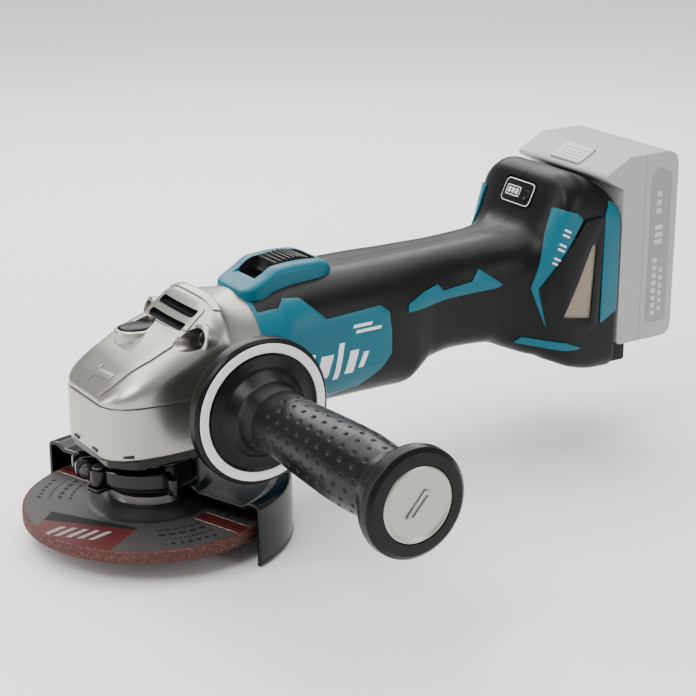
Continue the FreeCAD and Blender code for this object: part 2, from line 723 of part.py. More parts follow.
def build_handle():
    outer = lofted(HANDLE_SECTIONS)
    rooms = grown(HANDLE_SECTIONS, -shell_wall)
    last = rooms[-1]
    rooms[-1] = (last[0] - shell_wall,) + last[1:]
    inner = lofted(rooms)
    foot = block(grip_rear - 2.0, grip_rear + foot_length, -foot_half_width, foot_half_width,
                 HANDLE_SECTIONS[-1][2] + 0.5, pack_low - foot_gap)
    bosses = []
    for x, z in HANDLE_SCREWS:
        bosses.append(rod(BOSS_RADIUS, 70.0, (x, -35.0, z), Y).common(outer))
    shell = outer.cut(inner).fuse(foot)
    for boss in bosses:
        shell = shell.fuse(boss)

    slope_low = HANDLE_SECTIONS[5]
    slope_high = HANDLE_SECTIONS[6]
    middle = V((slope_low[0] + slope_high[0]) / 2.0, 0, (slope_low[3] + slope_high[3]) / 2.0)
    place = slope_placement(middle)
    seat = block(-panel_length / 2 - 0.1, panel_length / 2 + 0.1, -panel_half - 0.1, panel_half + 0.1,
                 -panel_seat, 5.0)
    seat = seat.fuse(rod(check_radius + easy, 3.0, (0, check_side, -3.0)))
    seat.Placement = place
    panel = block(-panel_length / 2, panel_length / 2, -panel_half, panel_half, -panel_seat,
                  panel_thickness - panel_seat)
    upright = [edge for edge in panel.Edges if abs(edge.tangentAt(0).z) > 0.9]
    panel = panel.makeFillet(4.0, upright)
    panel = panel.cut(rod(check_radius + easy, 5.0, (0, check_side, -3.0)))
    lights = []
    for index in range(3):
        y = index * 4.0
        light = block(-3.0, 3.0, y - 1.2, y + 1.2, panel_thickness - panel_seat - 0.6,
                      panel_thickness - panel_seat + 0.2)
        panel = panel.cut(light)
        lights.append(light)
    check = rod(check_radius, 3.0, (0, check_side, -1.8))
    light_group = Part.Compound(lights)
    for shape in (panel, check, light_group):
        shape.Placement = place
    save("indicator_panel", panel)
    save("indicator_lights", light_group)
    save("check_button", check)

    cuts = [seat, block(grip_rear - shell_wall - 1.0, grip_rear + 1.0, -block_half, block_half,
                        block_low, block_high),
            block(motor_rear - 1.0, motor_rear + unit_offset, -link_half - 0.8, link_half + 0.8, 100,
                  motor_height + motor_radius + link_height + 1.0)]
    screws = []
    for x, z in HANDLE_SCREWS:
        cuts.append(rod(HANDLE_SCREW_RADIUS, 24.0, (x, -10.0, z), Y))
        cuts.append(rod(HANDLE_SCREW_HEAD, 40.0, (x, 14.0, z), Y))
        head = rod(HANDLE_SCREW_HEAD, 2.5, (x, 14.0, z), Y).cut(rod(1.4, 1.5, (x, 15.0, z), Y))
        screws.append(head.fuse(rod(HANDLE_SCREW_RADIUS, 24.0, (x, -10.0, z), Y)))
    for cut in cuts:
        shell = shell.cut(cut)
    save("handle_shell_left", shell.common(block(0, 400, -60, 0, 0, 200)).removeSplitter())
    save("handle_shell_right", shell.common(block(0, 400, 0, 60, 0, 200)).removeSplitter())
    save("handle_screws", Part.Compound(screws))

    cover_skin = lofted(grown(HANDLE_SECTIONS, skin)).cut(outer)
    body_side = block(0, grip_rear, -60, 0, 0, 200)
    cover_skin = cover_skin.common(body_side)

    def outlined(points):
        return prism([(grip_rear + x, z) for x, z in points], -60, 0)

    accent = cover_skin.common(outlined(ACCENT))
    stripe = cover_skin.common(outlined(STRIPE))
    cover = cover_skin.common(outlined(COVER))
    mesh = cover.common(outlined(MESH))
    cover = cover.cut(outlined(MESH))
    band = cover_skin.common(block(grip_rear - REAR_BAND, grip_rear, -60, 0, 62, 200))
    band = band.cut(outlined(COVER))
    for name, pieces in (("accent_strips", [accent]), ("rear_trims", [band, stripe]),
                         ("dust_covers", [cover]), ("dust_meshes", [mesh])):
        save(name, Part.Compound(pieces + [mirrored(piece) for piece in pieces]))

    save("controller", block(motor_rear + 5.0, motor_rear + 49.0, -18, 18, 71, 97))
    terminal_start, terminal_end = grip_rear - 10.0, grip_rear + block_reach
    terminal = block(terminal_start, terminal_end, -block_half, block_half, block_low, block_high)
    blades = []
    for side in (-1, 1):
        y = side * blade_side
        blades.append(block(grip_rear + block_reach - 6.0, grip_rear + block_reach + blade_reach,
                            y - blade_half, y + blade_half, 75, 95))
    blade_group = Part.Compound(blades)
    save("terminal_block", terminal.cut(blade_group))
    save("terminal_blades", blade_group)


# ---------------------------------------------------------------- guard
def wedge(inner, outer, low, high, start, sweep):
    """Part of a ring between two angles."""
    corners = [V(inner, 0, low), V(outer, 0, low), V(outer, 0, high), V(inner, 0, high)]
    face = Part.Face(Part.makePolygon(corners + corners[:1]))
    return turn_z(face.revolve(V(0, 0, 0), Z, sweep), start)


def build_guard():
    band_inner = collar_radius + running
    band_outer = band_inner + band_sheet
    plate_low = guard_plate_top - guard_sheet
    plate = wedge(band_outer, guard_radius, plate_low, guard_plate_top, guard_start, guard_sweep)
    skirt = wedge(guard_radius - guard_sheet, guard_radius, guard_low, plate_low, guard_start, guard_sweep)
    save("guard_shell", fuse([plate, skirt]))

    band_high = guard_plate_top + band_height
    band = tube(band_outer, band_inner, band_high - plate_low, (0, 0, plate_low))
    lug_low = guard_plate_top + 3.0
    lugs = []
    for side in (-1, 1):
        near = side * lug_gap / 2.0
        far = side * (lug_gap / 2.0 + lug_sheet)
        low, high = min(near, far), max(near, far)
        lugs.append(block(band_inner + 0.5, lug_reach, low, high, lug_low, band_high - 1.0))
    gap = block(band_inner - 3.0, lug_reach, -lug_gap / 2.0, lug_gap / 2.0, plate_low - 1, band_high + 1)
    clamp_z = (lug_low + band_high - 1.0) / 2.0
    half_span = lug_gap / 2.0 + lug_sheet
    screw = rod(clamp_screw_radius, 2.0 * half_span, (lug_reach - 5.0, -half_span, clamp_z), Y)
    head = rod(3.6, 2.6, (lug_reach - 5.0, -half_span - 2.6, clamp_z), Y)
    nut = rod(3.6, 2.6, (lug_reach - 5.0, half_span, clamp_z), Y)
    lug_pair = turn_z(Part.Compound(lugs).cut(screw), lug_angle)
    band = band.cut(turn_z(gap, lug_angle)).fuse(lug_pair)
    bracket = block(band_inner + 0.5, lever_circle + 4.0, -4.0, 4.0, guard_plate_top, lever_low - 0.3)
    band = band.fuse(turn_z(bracket, lever_angle))
    band = band.cut(rod(collar_radius + running, 40, (0, 0, 10)))
    save("guard_band", band)
    save("guard_clamp_screw", turn_z(fuse([screw, head, nut]), lug_angle))

    pin_spot = (lever_circle * math.cos(math.radians(lever_angle)),
                lever_circle * math.sin(math.radians(lever_angle)))
    pin_low = lever_low - 0.3
    pin = rod(lever_pin_radius, lever_high + 0.4 - pin_low, (pin_spot[0], pin_spot[1], pin_low))
    cap = rod(lever_pin_radius + 1.2, 1.0, (pin_spot[0], pin_spot[1], lever_high + 0.4))
    save("lever_pin", pin.fuse(cap))

    arm = wedge(lever_inner, lever_outer, lever_low, lever_high, lever_angle, lever_sweep)
    eye = rod(4.0, lever_high - lever_low, (pin_spot[0], pin_spot[1], lever_low))
    tab = block(lever_inner, lever_inner + 13.0, -3.0, 0.5, lever_low, lever_high)
    tab = turn_z(tab, lever_angle + lever_sweep)
    bore = rod(lever_pin_radius + running, 20, (pin_spot[0], pin_spot[1], lever_low - 1))
    save("clamp_lever", fuse([arm, eye, tab]).cut(bore))


# ---------------------------------------------------------------- side handle
def along_handle(shape):
    """Turns a shape drawn along Z so that it points out along the side handle."""
    copy = shape.copy()
    copy.Placement = FreeCAD.Placement(V(handle_axis_x, 0, handle_axis_z), FreeCAD.Rotation(X, 90))
    return copy


def build_side_handle():
    washer_top = boss_face + washer_height
    stud_end = flange_front + 6.0
    stud_start = boss_face - boss_hole_depth + 0.5
    washer = tube(9.0, stud_radius + 2 * running, washer_height, (0, 0, boss_face))
    save("handle_washer", along_handle(washer))
    save("handle_stud", along_handle(rod(stud_radius, stud_end - stud_start, (0, 0, stud_start))))

    grip = turned([
        (0, washer_top), (11.0, washer_top), (11.5, washer_top + 6.0), (17.0, flange_back - 2.0),
        (handle_flange - 1.5, flange_back), (handle_flange, flange_back + 1.5),
        (handle_flange, flange_front - 1.0), (handle_flange - 1.0, flange_front),
        (28.0, flange_front), (20.5, flange_front + 3.0), (16.6, flange_front + 9.0),
        (15.2, flange_front + 17.0),
        (15.6, flange_front + 30.0), (17.4, flange_front + 60.0), (17.8, flange_front + 80.0),
        (16.6, grip_end - 28.0), (16.8, grip_end - 19.0), (20.0, grip_end - 12.0),
        (end_flange - 0.6, grip_end - 8.0), (end_flange, grip_end - 5.0), (end_flange - 0.8, grip_end - 0.8),
        (end_flange - 3.0, grip_end), (0, grip_end)])
    ring = tube(ring_outer, ring_inner, 1.4, (0, 0, flange_front - 1.2))
    cap = turned([(0, grip_end - 4.0), (cap_radius, grip_end - 4.0), (cap_radius, grip_end - 1.6),
                  (cap_radius - 4.0, grip_end - 0.8), (0, grip_end - 0.4)])
    grip = grip.cut(rod(stud_radius, stud_end - washer_top, (0, 0, washer_top)))
    grip = grip.cut(ring).cut(rod(cap_radius, 5.0, (0, 0, grip_end - 4.0)))
    save("side_grip", along_handle(grip))
    save("grip_ring", along_handle(ring))
    save("grip_end_cap", along_handle(cap))


# ---------------------------------------------------------------- battery
def build_battery():
    split = pack_front + pack_front_depth
    outline = [(pack_front, pack_low), (pack_rear, pack_low), (pack_rear, pack_high),
               (pack_front + 4.0, pack_high), (pack_front - 14.0, pack_high - 9.5),
               (pack_front, pack_high - 17.0)]
    body = prism(outline, -pack_half, pack_half)
    rear_edges = [edge for edge in body.Edges
                  if abs(edge.tangentAt(0).z) > 0.9 and edge.BoundBox.XMin > pack_rear - 0.1]
    body = body.makeFillet(7.0, rear_edges)

    slot_depth = block_reach - pack_gap + 0.5
    cuts = [block(pack_front - 1, pack_front + slot_depth, -block_half - 1, block_half + 1,
                  pack_low - 1, block_high + 1.5)]
    for side in (-1, 1):
        y = side * blade_side
        slot_end = pack_front + slot_depth + blade_reach
        cuts.append(block(pack_front, slot_end, y - 1.2, y + 1.2, pack_low - 1, 97))
    for side in (-1, 1):
        inner = side * (block_half + 4.0)
        outer = side * (pack_half - pack_wall)
        cuts.append(block(pack_front + 3.0, split, min(inner, outer), max(inner, outer),
                          pack_low + 3.0, pack_high - 30.0))
    room = block(split, pack_rear - pack_wall, -pack_half + pack_wall, pack_half - pack_wall,
                 pack_low + pack_wall, pack_high - pack_wall)
    cuts.append(room)

    run = V(18.0, 0, 9.5)
    tilt = -math.degrees(math.atan2(run.z, run.x))
    button_spot = V(pack_front - 2.5, 0, pack_high - 9.5 + 11.5 * 9.5 / 18.0)
    place = FreeCAD.Placement(button_spot, FreeCAD.Rotation(Y, tilt))
    well = block(-button_length / 2 - easy, button_length / 2 + easy, -button_half - easy, button_half + easy,
                 -pack_button_well, 6.0)
    well.Placement = place
    cuts.append(well)
    for cut in cuts:
        body = body.cut(cut)
    save("battery_front_case", body.common(block(0, split, -60, 60, 0, 200)))
    save("battery_rear_case", body.common(block(split, 400, -60, 60, 0, 200)))

    button = block(-button_length / 2, button_length / 2, -button_half, button_half,
                   0.4 - pack_button_thickness, 0.4)
    button.Placement = place
    save("battery_button", button)

    cells = []
    cell_x = pack_rear - pack_wall - cell_radius - 0.2
    pitch = (pack_high - pack_low - 2 * pack_wall - 4.0) / cell_count
    for index in range(cell_count):
        z = pack_low + pack_wall + 2.0 + pitch * (index + 0.5)
        cells.append(rod(cell_radius, cell_length, (cell_x, -cell_length / 2.0, z), Y))
    save("battery_cells", Part.Compound(cells))


build_spindle_line()
build_gear_head()
build_motor()
build_switch()
build_handle()
build_guard()
build_side_handle()
build_battery()
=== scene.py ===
import json
import math
import random

import bpy
import bmesh
from mathutils import Matrix, Vector, noise
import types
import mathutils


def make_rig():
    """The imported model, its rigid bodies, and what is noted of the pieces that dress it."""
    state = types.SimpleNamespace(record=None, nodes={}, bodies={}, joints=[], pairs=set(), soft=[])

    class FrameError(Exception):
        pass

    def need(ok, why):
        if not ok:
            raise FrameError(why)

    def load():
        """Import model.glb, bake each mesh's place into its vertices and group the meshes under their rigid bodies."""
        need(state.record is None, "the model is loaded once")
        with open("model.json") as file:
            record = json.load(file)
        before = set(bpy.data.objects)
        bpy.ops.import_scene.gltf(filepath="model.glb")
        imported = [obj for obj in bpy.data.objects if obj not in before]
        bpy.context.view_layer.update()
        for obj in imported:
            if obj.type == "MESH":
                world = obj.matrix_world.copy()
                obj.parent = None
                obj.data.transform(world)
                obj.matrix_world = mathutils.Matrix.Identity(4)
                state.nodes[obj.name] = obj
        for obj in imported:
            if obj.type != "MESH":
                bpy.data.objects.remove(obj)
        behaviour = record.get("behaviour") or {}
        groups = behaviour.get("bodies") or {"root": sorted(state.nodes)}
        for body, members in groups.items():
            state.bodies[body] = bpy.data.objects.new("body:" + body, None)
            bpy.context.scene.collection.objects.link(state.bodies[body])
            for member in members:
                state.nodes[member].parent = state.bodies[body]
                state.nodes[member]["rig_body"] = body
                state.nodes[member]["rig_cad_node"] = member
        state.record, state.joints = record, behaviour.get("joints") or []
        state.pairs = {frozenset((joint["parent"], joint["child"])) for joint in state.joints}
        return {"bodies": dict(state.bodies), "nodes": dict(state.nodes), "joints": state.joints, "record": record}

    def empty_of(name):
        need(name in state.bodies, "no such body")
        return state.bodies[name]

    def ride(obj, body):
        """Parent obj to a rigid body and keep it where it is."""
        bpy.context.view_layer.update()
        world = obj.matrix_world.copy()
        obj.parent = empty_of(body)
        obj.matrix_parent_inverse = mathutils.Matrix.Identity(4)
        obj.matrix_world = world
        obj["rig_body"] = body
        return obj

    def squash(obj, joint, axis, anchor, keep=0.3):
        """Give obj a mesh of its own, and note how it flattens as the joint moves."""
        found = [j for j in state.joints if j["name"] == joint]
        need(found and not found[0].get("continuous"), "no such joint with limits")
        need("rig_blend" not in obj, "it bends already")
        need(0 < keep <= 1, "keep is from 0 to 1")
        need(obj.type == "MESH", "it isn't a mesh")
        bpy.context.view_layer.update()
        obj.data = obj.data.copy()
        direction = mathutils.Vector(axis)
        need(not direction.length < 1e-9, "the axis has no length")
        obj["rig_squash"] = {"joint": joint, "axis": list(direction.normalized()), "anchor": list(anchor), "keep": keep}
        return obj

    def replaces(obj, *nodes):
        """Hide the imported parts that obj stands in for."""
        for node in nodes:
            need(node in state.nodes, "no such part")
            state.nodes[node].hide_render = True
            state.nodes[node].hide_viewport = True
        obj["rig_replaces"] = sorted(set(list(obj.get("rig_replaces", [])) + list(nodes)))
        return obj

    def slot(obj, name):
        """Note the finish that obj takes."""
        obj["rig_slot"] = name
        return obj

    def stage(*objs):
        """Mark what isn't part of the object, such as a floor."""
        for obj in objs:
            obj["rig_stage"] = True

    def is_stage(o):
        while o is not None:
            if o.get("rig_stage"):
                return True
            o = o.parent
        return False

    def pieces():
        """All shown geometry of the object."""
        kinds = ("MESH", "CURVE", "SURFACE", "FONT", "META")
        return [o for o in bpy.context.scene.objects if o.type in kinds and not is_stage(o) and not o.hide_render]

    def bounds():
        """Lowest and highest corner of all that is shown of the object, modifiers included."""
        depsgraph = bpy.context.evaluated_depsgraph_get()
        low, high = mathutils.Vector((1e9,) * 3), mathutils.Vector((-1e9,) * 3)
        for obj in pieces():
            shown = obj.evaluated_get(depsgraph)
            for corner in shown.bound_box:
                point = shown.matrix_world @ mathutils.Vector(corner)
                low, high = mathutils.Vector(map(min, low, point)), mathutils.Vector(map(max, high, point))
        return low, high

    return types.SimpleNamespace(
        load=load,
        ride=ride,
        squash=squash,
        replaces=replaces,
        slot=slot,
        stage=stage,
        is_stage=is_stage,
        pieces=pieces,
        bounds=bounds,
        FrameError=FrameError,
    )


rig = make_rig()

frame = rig.load()
cad_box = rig.bounds()

bl_info = {
    "name": "Cordless angle grinder",
    "version": (1, 0, 0),
    "blender": (4, 5, 0),
    "location": "3D View > Sidebar > Grinder",
    "description": "Builds a detailed cordless angle grinder around its CAD model",
    "category": "Object",
}

MM = 0.001


# ------------------------------------------------------------------ materials
def rough_surface(name, color, rough, metal=0.0, coat=0.0, grain=900.0, bump=0.05, shade=0.12, rough_var=0.08,
                  smudge=60.0, sheen=0.0, shine=0.5):
    """A surface with fine grain, slow colour change and uneven gloss."""
    mat = bpy.data.materials.new(name)
    mat.use_nodes = True
    tree = mat.node_tree
    tree.nodes.clear()
    out = tree.nodes.new("ShaderNodeOutputMaterial")
    bsdf = tree.nodes.new("ShaderNodeBsdfPrincipled")
    tree.links.new(bsdf.outputs["BSDF"], out.inputs["Surface"])
    place = tree.nodes.new("ShaderNodeTexCoord")

    slow = tree.nodes.new("ShaderNodeTexNoise")
    slow.inputs["Scale"].default_value = smudge
    slow.inputs["Detail"].default_value = 4.0
    tree.links.new(place.outputs["Object"], slow.inputs["Vector"])
    mix = tree.nodes.new("ShaderNodeMix")
    mix.data_type = "RGBA"
    mix.inputs["A"].default_value = [c * (1.0 - shade) for c in color] + [1.0]
    mix.inputs["B"].default_value = [min(1.0, c * (1.0 + shade) + 0.002) for c in color] + [1.0]
    tree.links.new(slow.outputs["Fac"], mix.inputs["Factor"])
    tree.links.new(mix.outputs["Result"], bsdf.inputs["Base Color"])

    gloss = tree.nodes.new("ShaderNodeMapRange")
    gloss.inputs["To Min"].default_value = max(0.02, rough - rough_var)
    gloss.inputs["To Max"].default_value = min(1.0, rough + rough_var)
    tree.links.new(slow.outputs["Fac"], gloss.inputs["Value"])
    tree.links.new(gloss.outputs["Result"], bsdf.inputs["Roughness"])

    fine = tree.nodes.new("ShaderNodeTexNoise")
    fine.inputs["Scale"].default_value = grain
    fine.inputs["Detail"].default_value = 2.0
    tree.links.new(place.outputs["Object"], fine.inputs["Vector"])
    bumps = tree.nodes.new("ShaderNodeBump")
    bumps.inputs["Strength"].default_value = bump
    bumps.inputs["Distance"].default_value = 0.0004
    tree.links.new(fine.outputs["Fac"], bumps.inputs["Height"])
    tree.links.new(bumps.outputs["Normal"], bsdf.inputs["Normal"])
    bsdf.inputs["Metallic"].default_value = metal
    bsdf.inputs["Coat Weight"].default_value = coat
    bsdf.inputs["Coat Roughness"].default_value = 0.06
    bsdf.inputs["Sheen Weight"].default_value = sheen
    bsdf.inputs["Specular IOR Level"].default_value = shine
    return mat


def grit_surface(name, color, spark):
    """Bonded grain: dark and light specks with a rough relief."""
    mat = rough_surface(name, color, 0.75, grain=1400.0, bump=0.9, shade=0.25, smudge=260.0)
    tree = mat.node_tree
    bsdf = next(n for n in tree.nodes if n.type == "BSDF_PRINCIPLED")
    place = next(n for n in tree.nodes if n.type == "TEX_COORD")
    old = bsdf.inputs["Base Color"].links[0].from_socket
    cells = tree.nodes.new("ShaderNodeTexVoronoi")
    cells.inputs["Scale"].default_value = 1500.0
    tree.links.new(place.outputs["Object"], cells.inputs["Vector"])
    pick = tree.nodes.new("ShaderNodeSeparateColor")
    tree.links.new(cells.outputs["Color"], pick.inputs["Color"])
    ramp = tree.nodes.new("ShaderNodeValToRGB")
    ramp.color_ramp.elements[0].position = 0.80
    ramp.color_ramp.elements[1].position = 0.86
    tree.links.new(pick.outputs["Red"], ramp.inputs["Fac"])
    mix = tree.nodes.new("ShaderNodeMix")
    mix.data_type = "RGBA"
    mix.inputs["B"].default_value = list(spark) + [1.0]
    tree.links.new(ramp.outputs["Color"], mix.inputs["Factor"])
    tree.links.new(old, mix.inputs["A"])
    tree.links.new(mix.outputs["Result"], bsdf.inputs["Base Color"])
    return mat


def weave_surface(name, color, dark):
    """A fine woven screen."""
    mat = rough_surface(name, color, 0.45, metal=0.35, grain=700.0, bump=0.1)
    tree = mat.node_tree
    bsdf = next(n for n in tree.nodes if n.type == "BSDF_PRINCIPLED")
    place = next(n for n in tree.nodes if n.type == "TEX_COORD")
    old = bsdf.inputs["Base Color"].links[0].from_socket
    spin = tree.nodes.new("ShaderNodeMapping")
    spin.inputs["Rotation"].default_value = (0.0, 0.6, 0.0)
    spin.inputs["Scale"].default_value = (1.0, 0.0, 1.0)
    tree.links.new(place.outputs["Object"], spin.inputs["Vector"])
    check = tree.nodes.new("ShaderNodeTexChecker")
    check.inputs["Scale"].default_value = 1900.0
    tree.links.new(spin.outputs["Vector"], check.inputs["Vector"])
    mix = tree.nodes.new("ShaderNodeMix")
    mix.data_type = "RGBA"
    mix.inputs["B"].default_value = list(dark) + [1.0]
    tree.links.new(check.outputs["Fac"], mix.inputs["Factor"])
    tree.links.new(old, mix.inputs["A"])
    tree.links.new(mix.outputs["Result"], bsdf.inputs["Base Color"])
    return mat


def material(key):
    """The material of that name, made once from the panel's colours."""
    found = bpy.data.materials.get("grinder_" + key)
    if found:
        return found
    c = bpy.context.scene.grinder_colors
    name = "grinder_" + key
    if key == "silver":
        return rough_surface(name, c.silver, 0.31, metal=0.95, coat=0.05, grain=2600.0, bump=0.09, shade=0.05, smudge=25.0)
    if key == "black":
        return rough_surface(name, c.black, 0.34, grain=3000.0, bump=0.14, shade=0.12, shine=0.17)
    if key == "rubber":
        return rough_surface(name, c.rubber, 0.28, grain=2600.0, bump=0.12, shade=0.12, shine=0.18)
    if key == "teal":
        return rough_surface(name, c.teal, 0.34, grain=2800.0, bump=0.10, shade=0.05, shine=0.22)
    if key == "teal_dark":
        return rough_surface(name, [v * 0.55 for v in c.teal], 0.45, grain=2800.0, bump=0.10, shade=0.05)
    # Gloss black of the guard coating; the same material is also painted shade on the bearing box and on the dark bars
    # and ring under the gear head.
    if key == "gloss_black_and_painted_shade":
        return rough_surface(name, c.guard, 0.13, grain=500.0, bump=0.03, shade=0.1, shine=0.3)
    if key == "steel":
        return rough_surface(name, (0.55, 0.55, 0.54), 0.3, metal=1.0, grain=1500.0, bump=0.06, shade=0.06)
    if key == "dark_steel":
        return rough_surface(name, (0.07, 0.068, 0.068), 0.38, metal=0.8, grain=1500.0, bump=0.1, shade=0.15)
    if key == "white":
        return rough_surface(name, (0.78, 0.78, 0.77), 0.4, grain=1500.0, bump=0.03, shade=0.02)
    if key == "battery":
        return rough_surface(name, c.battery, 0.5, grain=2600.0, bump=0.12, shade=0.03)
    # Darker grey for the side field on the pack; the same material is also painted shade on the walls of the recesses
    # cut into the pack front.
    if key == "battery_dark":
        return rough_surface(name, [v * 0.72 for v in c.battery], 0.5, grain=2600.0, bump=0.12, shade=0.03)
    if key == "battery_light":
        return rough_surface(name, [min(1.0, v * 1.45) for v in c.battery], 0.45, grain=2600.0, bump=0.05, shade=0.02)
    if key == "abrasive":
        return grit_surface(name, c.abrasive, (0.11, 0.040, 0.028))
    if key == "label":
        return rough_surface(name, c.label, 0.62, grain=1500.0, bump=0.35, shade=0.18, smudge=180.0, shine=0.35)
    if key == "label_hub":
        return rough_surface(name, [v * 0.45 for v in c.label], 0.42, grain=1500.0, bump=0.2, shade=0.2, shine=0.4)
    if key == "label_red":
        return rough_surface(name, (0.060, 0.0035, 0.003), 0.6, grain=1500.0, bump=0.3, shade=0.2, shine=0.3)
    # Near-black print on the wheel label; the same material is also painted shade on the walls of the vent slots and of
    # the switch well.
    if key == "dark_print_and_painted_shade":
        return rough_surface(name, (0.006, 0.006, 0.006), 0.7, grain=1500.0, bump=0.3, shade=0.2, shine=0.2)
    if key == "label_white":
        return rough_surface(name, (0.22, 0.215, 0.205), 0.7, grain=1500.0, bump=0.3, shade=0.2)
    if key == "mesh":
        return weave_surface(name, c.mesh, [v * 0.45 for v in c.mesh])
    if key == "copper":
        return rough_surface(name, (0.62, 0.26, 0.12), 0.35, metal=1.0, grain=900.0, bump=0.3)
    if key == "board":
        return rough_surface(name, (0.02, 0.16, 0.06), 0.4, coat=0.3, grain=900.0, bump=0.1)
    if key == "lens":
        return rough_surface(name, (0.55, 0.60, 0.56), 0.25, coat=0.4, grain=900.0, bump=0.02)
    raise RuntimeError("no material called " + key)


# ------------------------------------------------------------------ mesh building
def make_object(name, mesh):
    obj = bpy.data.objects.new(name, mesh)
    bpy.context.scene.collection.objects.link(obj)
    return obj


def shade(obj, angle=35.0):
    for poly in obj.data.polygons:
        poly.use_smooth = True
    obj.data.set_sharp_from_angle(angle=math.radians(angle))


def from_points(name, verts, faces, mats, face_mats=None, angle=35.0):
    """A mesh object from points in millimetres."""
    mesh = bpy.data.meshes.new(name)
    mesh.from_pydata([[c * MM for c in v] for v in verts], [], faces)
    for key in mats:
        mesh.materials.append(material(key))
    if face_mats:
        for poly, index in zip(mesh.polygons, face_mats):
            poly.material_index = index
    mesh.update()
    bm = bmesh.new()
    bm.from_mesh(mesh)
    bmesh.ops.remove_doubles(bm, verts=bm.verts, dist=1e-7)
    bmesh.ops.dissolve_degenerate(bm, edges=bm.edges, dist=1e-7)
    bmesh.ops.recalc_face_normals(bm, faces=bm.faces)
    bm.to_mesh(mesh)
    bm.free()
    obj = make_object(name, mesh)
    shade(obj, angle)
    return obj


def apply_modifiers(obj):
    deps = bpy.context.evaluated_depsgraph_get()
    deps.update()
    mesh = bpy.data.meshes.new_from_object(obj.evaluated_get(deps), preserve_all_data_layers=True, depsgraph=deps)
    obj.modifiers.clear()
    old = obj.data
    obj.data = mesh
    bpy.data.meshes.remove(old)


def bevel(obj, width, segments=3, angle=30.0):
    mod = obj.modifiers.new("edges", "BEVEL")
    mod.width = width * MM
    mod.segments = segments
    mod.limit_method = "ANGLE"
    mod.angle_limit = math.radians(angle)
    mod.harden_normals = False
    apply_modifiers(obj)
    shade(obj, angle)
    return obj


def cut_away(obj, cutters, angle=35.0):
    """Takes the cutters out of obj; the new walls take the cutters' material."""
    for cutter in cutters:
        mod = obj.modifiers.new("cut", "BOOLEAN")
        mod.operation = "DIFFERENCE"
        mod.solver = "EXACT"
        mod.material_mode = "TRANSFER"
        mod.object = cutter
    apply_modifiers(obj)
    shade(obj, angle)
    return obj


def remove(objects):
    for obj in objects:
        bpy.data.objects.remove(obj)


def join(name, objects):
    """One object from several, with their materials kept."""
    bm = bmesh.new()
    mats = []
    for obj in objects:
        start = len(bm.faces)
        bm.from_mesh(obj.data)
        bm.faces.ensure_lookup_table()
        table = []
        for mat in obj.data.materials:
            if mat not in mats:
                mats.append(mat)
            table.append(mats.index(mat))
        for face in bm.faces[start:]:
            face.material_index = table[face.material_index] if table else 0
    mesh = bpy.data.meshes.new(name)
    bm.to_mesh(mesh)
    bm.free()
    for mat in mats:
        mesh.materials.append(mat)
    remove(objects)
    return make_object(name, mesh)


def smooth_between(table, x):
    """Values between rows of a table, eased without overshoot."""
    if x <= table[0][0]:
        return list(table[0][1:])
    if x >= table[-1][0]:
        return list(table[-1][1:])
    i = max(k for k in range(len(table) - 1) if table[k][0] <= x)
    x0, x1 = table[i][0], table[i + 1][0]
    t = (x - x0) / (x1 - x0)

    def slope(k, j):
        if k == 0 or k == len(table) - 1:
            return 0.0 if k == 0 else 0.0
        a = (table[k][j] - table[k - 1][j]) / (table[k][0] - table[k - 1][0])
        b = (table[k + 1][j] - table[k][j]) / (table[k + 1][0] - table[k][0])
        if a * b <= 0:
            return 0.0
        return 2.0 * a * b / (a + b)

    out = []
    for j in range(1, len(table[0])):
        y0, y1 = table[i][j], table[i + 1][j]
        h = x1 - x0
        first = (y1 - y0) / h
        m0 = slope(i, j) if i > 0 else first
        m1 = slope(i + 1, j) if i + 1 < len(table) - 1 else first
        value = ((2 * t ** 3 - 3 * t ** 2 + 1) * y0 + (t ** 3 - 2 * t ** 2 + t) * h * m0
                 + (-2 * t ** 3 + 3 * t ** 2) * y1 + (t ** 3 - t ** 2) * h * m1)
        out.append(value)
    return out


def outline(half, low, high, low_round, high_round, crown=0.0, steps=(7, 7, 14, 12, 12)):
    """Points (y, z) round a section, from the bottom middle up the +Y side and back."""
    room = (high - low) * 0.5
    low_round = max(0.1, min(low_round, half - 0.1, room))
    high_round = max(0.1, min(high_round, half - 0.1, high - low - low_round))
    right = []
    a, b, c, d, e = steps
    for i in range(a):
        right.append(((half - low_round) * i / a, low))
    for i in range(b):
        t = math.pi / 2 * i / b
        right.append((half - low_round + low_round * math.sin(t), low + low_round * (1 - math.cos(t))))
    for i in range(c):
        right.append((half, low + low_round + (high - low - low_round - high_round) * i / c))
    for i in range(d):
        t = math.pi / 2 * i / d
        right.append((half - high_round + high_round * math.cos(t), high - high_round + high_round * math.sin(t)))
    for i in range(e + 1):
        right.append(((half - high_round) * (1 - i / e), high))
    middle = (low + high) / 2
    right = [(y, z - crown * (y / half) ** 2 * max(0.0, (z - middle) / (high - middle))) for y, z in right]
    left = [(-y, z) for y, z in reversed(right[1:-1])]
    return right + left


